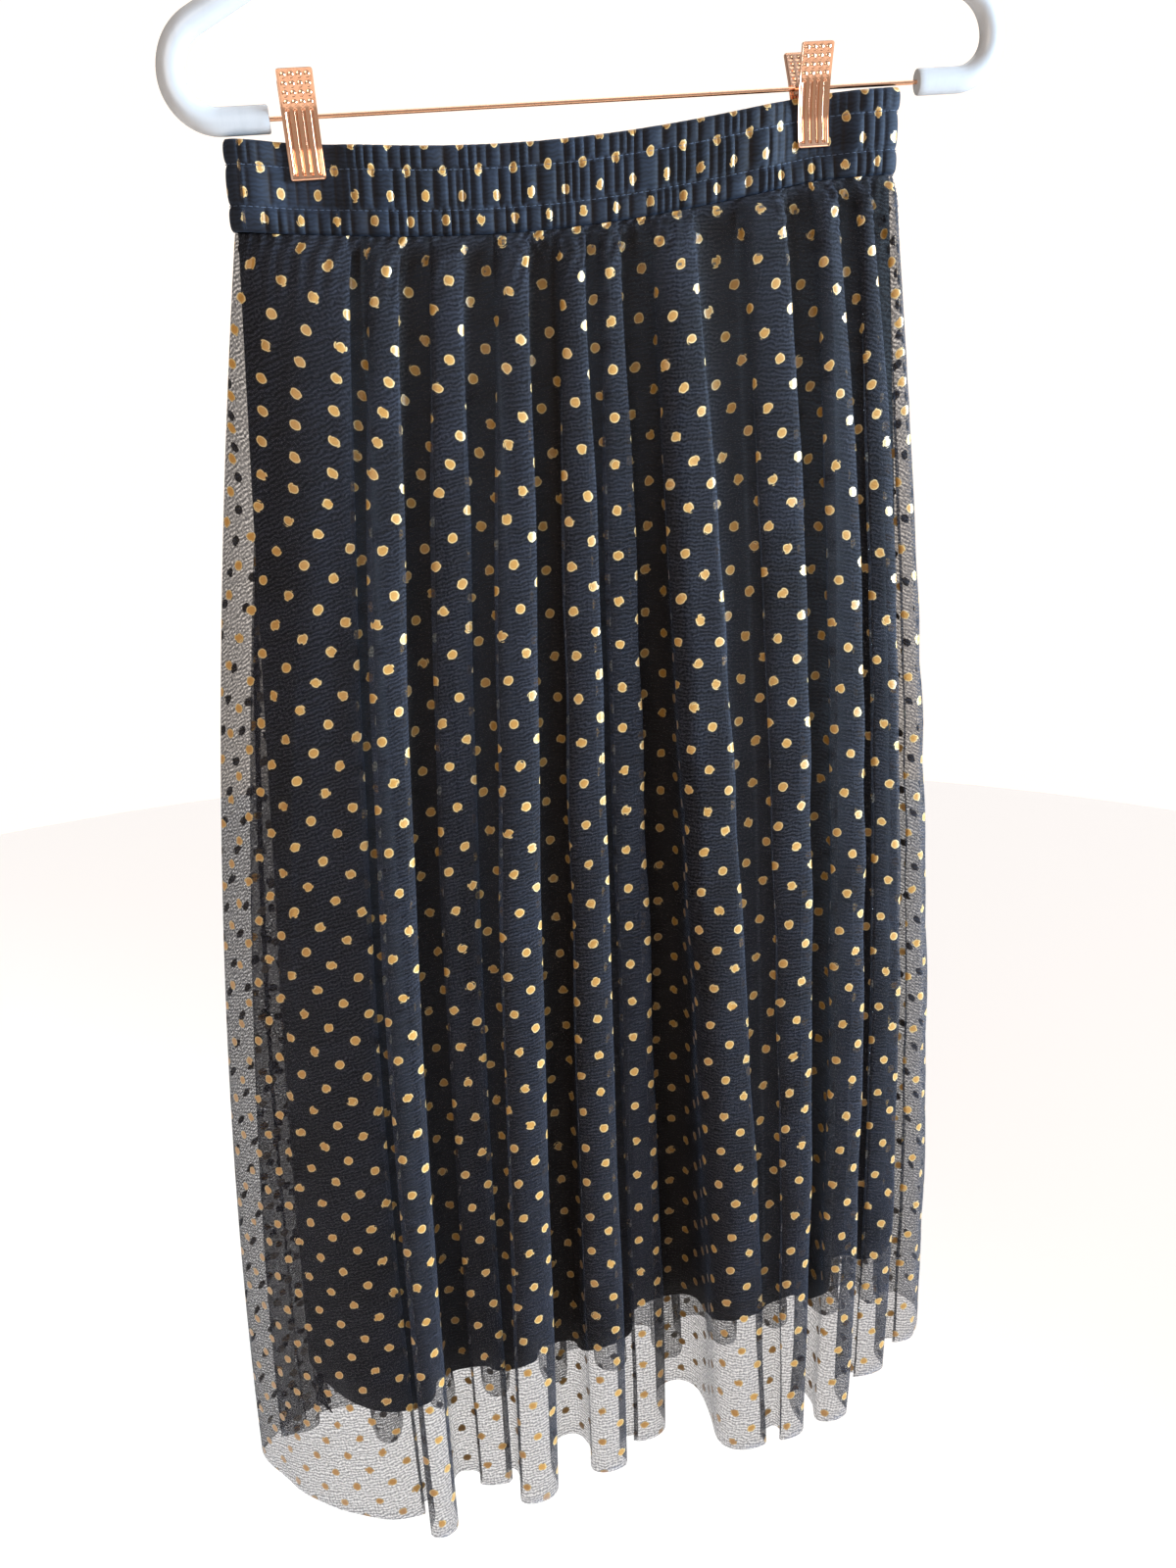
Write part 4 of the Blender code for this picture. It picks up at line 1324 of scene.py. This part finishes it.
@dataclass
class Hanger:
    """White coated tube with a thin rod for the clips and a wire hook."""

    finishes: Wardrobe
    bar_span: float = 335 * MM
    bar_radius: float = 1.1 * MM
    bar_in_socket: float = 12 * MM
    bar_steps: int = 12
    tube_height: float = 13 * MM
    tube_depth: float = 10 * MM
    tube_sides: int = 40
    end_round: float = 0.9 * MM
    corner_x: float = 190 * MM
    corner_radius: float = 20 * MM
    shoulder_radius: float = 26 * MM
    arm_slope: float = math.radians(27)
    crown_radius: float = 34 * MM
    wire_radius: float = 1.9 * MM
    hook_radius: float = 22 * MM
    hook_start: float = math.radians(-60)
    hook_end: float = math.radians(200)

    def swept(self, name: str, node: str, path: list[Vector], radii: list[tuple],
              sides: int) -> bpy.types.Object:
        """Sweep one part and set it in the hanger's frame.

        Args:
            name: The piece's name.
            node: The solid that it stands for.
            path: Points along its middle.
            radii: Half width and half depth at each point.
            sides: Points round it.

        Returns:
            The piece, white for the frame and rose gold for the rest.
        """
        coated = node == "hanger_frame"
        bm = bmesh.new()
        sweep(bm, path, radii, sides, OUT_OF_PLANE)
        finish = self.finishes.plastic if coated else self.finishes.metal
        mesh = mesh_from(bm, name, finish, HANGER_FRAME)
        return place_piece(name, mesh, [node])

    def shoulder(self) -> tuple[Vector, float]:
        """Centre of the bend from the corner to the arm, and the angle where it ends."""
        centre = Vector((self.corner_x + self.corner_radius - self.shoulder_radius, 0, self.corner_radius))
        return centre, math.pi / 2 - self.arm_slope

    def crown(self) -> tuple[float, Vector]:
        """Height of the tube's middle line at the neck, and the centre of the neck's bend."""
        shoulder, turn = self.shoulder()
        arm_start = shoulder + Vector((math.cos(turn), 0, math.sin(turn))) * self.shoulder_radius
        peak = arm_start.z + arm_start.x * math.tan(self.arm_slope)
        centre = Vector((0, 0, peak - self.crown_radius / math.cos(self.arm_slope)))
        return centre.z + self.crown_radius, centre

    def tube_path(self) -> list[Vector]:
        """Middle line of the tube from its left end over the neck to its right end."""
        shoulder, turn = self.shoulder()
        corner = Vector((self.corner_x, 0, self.corner_radius))
        half = [Vector((self.bar_span / 2, 0, 0)) + Vector((step, 0, 0))
                for step in (0, 0.25 * self.end_round, self.end_round, 4 * self.end_round)]
        half += arc(corner, self.corner_radius, -math.pi / 2, 0, 18)
        half += arc(shoulder, self.shoulder_radius, 0, turn, 14)[1:]
        half += arc(self.crown()[1], self.crown_radius, turn, math.pi / 2, 12)
        mirrored = [Vector((-p.x, 0, p.z)) for p in half[:-1]]
        return mirrored + half[::-1]

    def build_frame(self) -> bpy.types.Object:
        """Sweep the tube, its two ends rounded over."""
        path = self.tube_path()
        full = (self.tube_height / 2, self.tube_depth / 2)
        radii = [full] * len(path)
        for index, inset in ((0, 1.0), (1, 0.3), (2, 0.0)):
            shrunk = tuple(half - inset * self.end_round for half in full)
            radii[index] = shrunk
            radii[-1 - index] = shrunk
        return self.swept("hanger_tube", "hanger_frame", path, radii, self.tube_sides)

    def build_bar(self) -> bpy.types.Object:
        """Sweep the thin rod that the clips slide on."""
        half = self.bar_span / 2 + self.bar_in_socket
        path = [Vector((mix(-half, half, k / self.bar_steps), 0, 0)) for k in range(self.bar_steps + 1)]
        radii = [(self.bar_radius, self.bar_radius)] * len(path)
        return self.swept("clip_rod", "hanger_bar", path, radii, 20)

    def build_hook(self) -> bpy.types.Object:
        """Sweep the bent wire and round off its end."""
        centre = Vector((0, 0, HOOK_TO_BAR + self.wire_radius - self.hook_radius))
        low = math.sin(self.hook_start) * self.hook_radius
        turn_centre = centre + Vector((self.hook_radius * 2 * math.cos(self.hook_start), 0, 2 * low))
        path = [Vector((0, 0, self.crown()[0] + GAP))]
        path += arc(turn_centre, self.hook_radius, math.pi, math.pi + self.hook_start, 12)
        path += arc(centre, self.hook_radius, self.hook_start, self.hook_end, 60)[1:]
        along = (path[-1] - path[-2]).normalized()
        radii = [(self.wire_radius, self.wire_radius)] * len(path)
        for share in (0.4, 0.75, 0.95):
            path.append(path[-1] + along * self.wire_radius * 0.33)
            size = self.wire_radius * math.sqrt(1 - share ** 2)
            radii.append((size, size))
        return self.swept("hook_wire", "hanger_hook", path, radii, 24)


# Clips

class JawBend(NamedTuple):
    """One bend of a jaw's plate: its inner face away from the bar, and its height."""

    away: float
    height: float


# Millimetres; the last two bends are the bite on the waistband and the turned-out lip
JAW = (
    JawBend(13.0, 19.2),
    JawBend(7.2, 4.5),
    JawBend(5.0, -4.0),
    JawBend(3.0, -14.0),
    JawBend(3.0, -26.5),
    JawBend(3.8, -28.7),
)


@dataclass
class Clip:
    """Sprung clip of two pressed plates, with dimples for the fingers and grooves for stiffness."""

    name: str
    place_x: float
    finishes: Wardrobe
    width: float = 17 * MM
    plate: float = 1.0 * MM
    across_steps: int = 68
    along_steps: int = 150
    rim: float = 0.25 * MM
    rim_width: float = 0.9 * MM
    dimple_columns: int = 4
    dimple_rows: int = 4
    dimple_pitch: float = 4.1 * MM
    pitch_across: float = 0.92
    pitch_down: float = 0.9
    dimple_radius: float = 1.35 * MM
    dimple_height: float = 0.55 * MM
    groove_width: float = 1.7 * MM
    groove_depth: float = 0.8 * MM
    groove_top: float = 2.0 * MM
    groove_bottom: float = -25.6 * MM
    foot_drop: float = 0.2 * MM
    foot_radius: float = 0.9 * MM
    foot_depth: float = 0.25 * MM
    dimple_top: float = 16.4 * MM
    corner_radius: float = 1.1 * MM
    ear_radius: float = 2.5 * MM
    ear_hole: float = 1.4 * MM
    front_ear_x: float = 6.8 * MM
    back_ear_x: float = 5.4 * MM
    ear_turns: int = 24
    wire_radius: float = 0.45 * MM
    coil_radius: float = 1.9 * MM
    coil_turns: int = 7
    coil_steps: int = 16
    coil_length: float = 7.2 * MM

    @staticmethod
    def profile(count: int) -> tuple[Array, Array, Array, Array]:
        """Side view of a jaw's inner face, with its bends rounded.

        Args:
            count: Number of points.

        Returns:
            Distance from the bar, height, and the two parts of the outward normal.
        """
        away = np.array([bend.away for bend in JAW]) * MM
        height = np.array([bend.height for bend in JAW]) * MM
        z = np.linspace(height[0], height[-1], count)
        reach = np.interp(z, height[::-1], away[::-1])
        window = max(count // 22, 1)
        before, after = 2 * reach[0] - reach[window:0:-1], 2 * reach[-1] - reach[-2:-window - 2:-1]
        padded = np.concatenate([before, reach, after])
        reach = np.convolve(padded, np.ones(2 * window + 1) / (2 * window + 1), mode="valid")
        slope = np.gradient(reach, z)
        size = np.hypot(1, slope)
        return reach, z, 1 / size, -slope / size

    def pressing(self, x: Array, z: Array) -> Array:
        """Height pressed outwards at places on the plate: rim, dimples and grooves."""
        half = self.width / 2
        top, bottom = JAW[0].height * MM, JAW[-1].height * MM
        edge = np.minimum(half - np.abs(x), np.minimum(top - z, z - bottom))
        height = self.rim * (1 - smooth(edge, 0.35 * self.rim_width, self.rim_width))
        pitch = self.dimple_pitch * self.pitch_across
        for column in range(self.dimple_columns):
            line_x = (column - (self.dimple_columns - 1) / 2) * pitch
            for row in range(self.dimple_rows):
                line_z = self.dimple_top - row * self.dimple_pitch * self.pitch_down
                far = np.hypot(x - line_x, z - line_z) / self.dimple_radius
                height = height + self.dimple_height * np.sqrt(np.clip(1 - far ** 2, 0, 1))
            beyond = np.maximum(np.maximum(z - self.groove_top, self.groove_bottom - z), 0)
            far = np.hypot(x - line_x, beyond) / (self.groove_width / 2)
            height = height - self.groove_depth * np.sqrt(np.clip(1 - far ** 2, 0, 1))
            far = np.hypot(x - line_x, z - (self.groove_bottom - self.foot_drop)) / self.foot_radius
            height = height - self.foot_depth * np.clip(1 - far ** 2, 0, 1)
        return height

    def place(self) -> Matrix:
        """Where the clip's middle sits on the bar."""
        return HANGER_FRAME @ Matrix.Translation((self.place_x, 0, 0))

    def build_jaw(self, side: Side, ear_x: float) -> bpy.types.Object:
        """Build one pressed plate with the two ears that the bar passes through.

        Args:
            side: Front or back of the clip.
            ear_x: Distance of each ear from the clip's middle.

        Returns:
            The jaw's piece.
        """
        reach, z, out_y, out_z = self.profile(self.along_steps)
        x = self.width * (np.arange(self.across_steps + 1) / self.across_steps - 0.5)
        corner = self.corner_radius
        grid_x, grid_z = np.meshgrid(x, z)
        short = corner - np.clip(np.minimum(z[0] - grid_z, grid_z - z[-1]), 0, corner)
        cut_back = corner - np.sqrt(np.clip(corner ** 2 - short ** 2, 0, None))
        grid_x = grid_x * (1 - 2 * cut_back / self.width)
        pressed = self.pressing(grid_x, grid_z)
        rows = []
        for lift in (self.plate + pressed, 0.8 * pressed):
            away = reach[:, None] + out_y[:, None] * lift
            up = z[:, None] + out_z[:, None] * lift
            rows.append(np.stack([grid_x, side.value * away, up + 0 * grid_x], axis=-1))
        outer, inner = rows
        if side is Side.BACK:
            outer, inner = outer[:, ::-1], inner[:, ::-1]
        count = outer.shape[0] * outer.shape[1]
        numbers = np.arange(count).reshape(outer.shape[:2])
        size = outer.shape[:2]
        faces = [grid_faces(*size, 0, False, False), grid_faces(*size, count, False, True)]
        edges = (numbers[0], numbers[-1, ::-1], numbers[::-1, 0], numbers[:, -1])
        faces += [rim_faces(edge + count, edge, False) for edge in edges]
        bm = bmesh.new()
        points = np.concatenate([outer.reshape(-1, 3), inner.reshape(-1, 3)])
        verts = [bm.verts.new(point) for point in points]
        for quad in np.concatenate(faces):
            bm.faces.new([verts[number] for number in quad])
        for sign in (-1, 1):
            self.add_ear(bm, side, sign * ear_x)
        label = f"{self.name}_clip_{side.name.lower()}_jaw"
        mesh = mesh_from(bm, f"{label}_plate", self.finishes.metal, self.place())
        return place_piece(f"{label}_plate", mesh, [label])

    def add_ear(self, bm: bmesh.types.BMesh, side: Side, ear_x: float) -> None:
        """Add a flat ear with a round hole for the bar."""
        turns = self.ear_turns
        reach, z, _, _ = self.profile(self.along_steps)
        hole = self.ear_hole
        rings = []
        for half in (-0.5, 0.5):
            outline, bore = [], []
            for k in range(turns):
                angle = 2 * math.pi * (k + 0.5) / turns
                out, up = math.cos(angle), math.sin(angle)
                far = self.ear_radius
                if out > 0:
                    height = self.ear_radius * max(min(up * 1.42, 1), -1)
                    plate_at = float(np.interp(-height, -z, reach)) + self.plate / 2
                    y = min(plate_at, plate_at * out * 1.42)
                    y = max(y, far * out)
                else:
                    y, height = far * out, far * up
                x = ear_x + half * self.plate
                outline.append(bm.verts.new((x, side.value * y, height)))
                bore.append(bm.verts.new((x, side.value * hole * out, hole * up)))
            rings.append((outline, bore))
        for k in range(turns):
            for outline, bore in rings:
                bm.faces.new((outline[k - 1], outline[k], bore[k], bore[k - 1]))
            for layer in (0, 1):
                first, second = rings[0][layer], rings[1][layer]
                bm.faces.new((first[k - 1], first[k], second[k], second[k - 1]))

    def build_spring(self) -> bpy.types.Object:
        """Wind the coil round the bar."""
        path = []
        steps = self.coil_turns * self.coil_steps
        for k in range(steps + 1):
            angle = 2 * math.pi * k / self.coil_steps
            x = self.coil_length * (k / steps - 0.5)
            path.append(Vector((x, self.coil_radius * math.sin(angle), self.coil_radius * math.cos(angle))))
        bm = bmesh.new()
        sweep(bm, path, [(self.wire_radius, self.wire_radius)] * len(path), 8, Vector((1, 0, 0)))
        mesh = mesh_from(bm, f"{self.name}_clip_coil", self.finishes.metal, self.place())
        return place_piece(f"{self.name}_clip_coil", mesh, [f"{self.name}_clip_spring"])

    def build(self) -> None:
        """Build both jaws and the spring."""
        self.build_jaw(Side.FRONT, self.front_ear_x)
        self.build_jaw(Side.BACK, self.back_ear_x)
        self.build_spring()


# Studio

class SoftLight(NamedTuple):
    """A square light: where it stands, the point it faces, its width, watts, colour and spread."""

    name: str
    place: tuple
    aim: tuple
    size: float
    power: float
    colour: tuple
    spread: float


LIGHTS = (
    SoftLight("cool_key", (2.1, -0.75, -0.2), (0.0, 0.0, -0.44), 1.0, 28, (0.60, 0.80, 1.0),
              math.radians(54)),
    SoftLight("warm_fill", (-1.0, -2.1, 0.3), (0.0, 0.0, -0.6), 1.2, 26, (1.0, 0.90, 0.80), math.pi),
)


@dataclass
class Studio:
    """Plain pale floor, soft light that is cooler from the right, and the camera."""

    floor_drop: float = 1.55
    floor_radius: float = 3.0
    camera_at: tuple = (-0.146455, -0.701972, -0.328206)
    pitch: float = math.radians(18.856)
    yaw: float = math.radians(11.550)
    roll: float = math.radians(-1.131)
    lens: float = 29.25
    low_room: tuple = (0.44, 0.42, 0.40)
    left_room: tuple = (0.16, 0.14, 0.12)
    right_room: tuple = (0.85, 1.0, 1.2)
    overhead: float = 1.9
    backdrop: tuple = (1.22, 1.10, 1.0)
    floor_colour: tuple = (0.97, 0.89, 0.82, 1)

    def build_floor(self) -> bpy.types.Object:
        """Lay the floor below the hem."""
        bm = bmesh.new()
        bmesh.ops.create_circle(bm, cap_ends=True, segments=96, radius=self.floor_radius,
                                matrix=Matrix.Translation((0, 0, -self.floor_drop)))
        mesh = bpy.data.meshes.new("studio_floor")
        bm.to_mesh(mesh)
        bm.free()
        material = bpy.data.materials.new("pale floor")
        material.use_nodes = True
        shader = material.node_tree.nodes["Principled BSDF"]
        Graph.fix(shader, {"Base Color": self.floor_colour, "Roughness": 0.9})
        mesh.materials.append(material)
        floor = add_object("studio_floor", mesh)
        return floor

    def build_camera(self) -> None:
        """Set the camera that the photograph was taken from."""
        ahead = Vector((math.sin(self.yaw), math.cos(self.yaw), 0))
        right = Vector((math.cos(self.yaw), -math.sin(self.yaw), 0))
        up = Vector((0, 0, 1))
        forward = ahead * math.cos(self.pitch) - up * math.sin(self.pitch)
        lifted = up * math.cos(self.pitch) + ahead * math.sin(self.pitch)
        image_right = right * math.cos(self.roll) + lifted * math.sin(self.roll)
        image_up = lifted * math.cos(self.roll) - right * math.sin(self.roll)
        data = bpy.data.cameras.new("photo_camera")
        data.lens = self.lens
        data.sensor_width = 36.0
        data.sensor_fit = "AUTO"
        data.clip_start = 0.01
        camera = add_object("photo_camera", data)
        turn = Matrix((image_right, image_up, -forward)).transposed().to_4x4()
        camera.matrix_world = Matrix.Translation(self.camera_at) @ turn
        bpy.context.scene.camera = camera

    @staticmethod
    def add_light(given: SoftLight) -> None:
        """Add a square soft light."""
        data = bpy.data.lights.new(given.name, "AREA")
        data.shape = "SQUARE"
        data.size = given.size
        data.energy = given.power
        data.color = given.colour
        data.spread = given.spread
        light = add_object(given.name, data)
        light.location = given.place
        facing = Vector(given.aim) - Vector(given.place)
        light.rotation_euler = facing.to_track_quat("-Z", "Y").to_euler()

    def build_world(self) -> None:
        """White where the camera looks past the skirt, and a soft room, lighter on the right, elsewhere."""
        world = bpy.data.worlds.new("studio")
        bpy.context.scene.world = world
        world.use_nodes = True
        graph = Graph(world.node_tree)
        split = graph.node("ShaderNodeSeparateXYZ")
        graph.feed(split.inputs[0], graph.node("ShaderNodeTexCoord").outputs["Generated"])
        walls = graph.blend(graph.ramp(split.outputs[0], -0.5, 0.95), self.left_room, self.right_room)
        tint = graph.blend(graph.ramp(split.outputs[2], -0.15, 0.5), self.low_room, walls)
        seen = graph.node("ShaderNodeLightPath").outputs["Is Camera Ray"]
        background = graph.node("ShaderNodeBackground")
        graph.feed(background.inputs["Color"], graph.blend(seen, tint, self.backdrop))
        output = graph.node("ShaderNodeOutputWorld")
        graph.feed(output.inputs["Surface"], background.outputs[0])

    def add_overhead(self) -> None:
        """Add the wide overhead light that keeps the floor white."""
        data = bpy.data.lights.new("overhead", "SUN")
        data.energy = self.overhead
        data.angle = math.radians(70)
        light = add_object("overhead", data)
        light.rotation_euler = (math.radians(-12), math.radians(8), 0)

    def build(self) -> None:
        """Build the floor, the camera and the light."""
        scene = bpy.context.scene
        self.build_floor()
        self.build_camera()
        self.build_world()
        self.add_overhead()
        for light in LIGHTS:
            self.add_light(light)
        scene.view_settings.view_transform = "Standard"
        scene.cycles.transparent_max_bounces = 10
        scene.cycles.diffuse_bounces = 1
        scene.cycles.max_bounces = 5


def main() -> None:
    """Build the skirt, its hanger and the studio."""
    logging.basicConfig(level=logging.INFO, format="%(name)s: %(message)s")
    Studio().build()
    finishes = Wardrobe()
    Waistband(finishes).build()
    net = (finishes.net_outside, finishes.net_inside)
    lining = (finishes.lining, finishes.lining)
    ClothPanel("net_front", Side.FRONT, NET_CUT, NET_FRONT_FOLDS, NET_FRONT_CREASES, *net).build()
    ClothPanel("net_back", Side.BACK, NET_CUT, NET_BACK_FOLDS, NET_BACK_CREASES, *net).build()
    smooth_hung = {"spacing": 4.5 * MM, "levels": 60, "fold_over": 0.0}
    ClothPanel("lining_front", Side.FRONT, LINING_CUT, LINING_FRONT_FOLDS, LINING_CREASES, *lining,
               **smooth_hung).build()
    ClothPanel("lining_back", Side.BACK, LINING_CUT, LINING_BACK_FOLDS, LINING_CREASES, *lining,
               **smooth_hung).build()
    build_seam_end(finishes)
    hanger = Hanger(finishes)
    hanger.build_frame()
    hanger.build_bar()
    hanger.build_hook()
    for name, place_x in CLIPS_X.items():
        Clip(name, place_x, finishes).build()


if __name__ == "__main__":
    main()
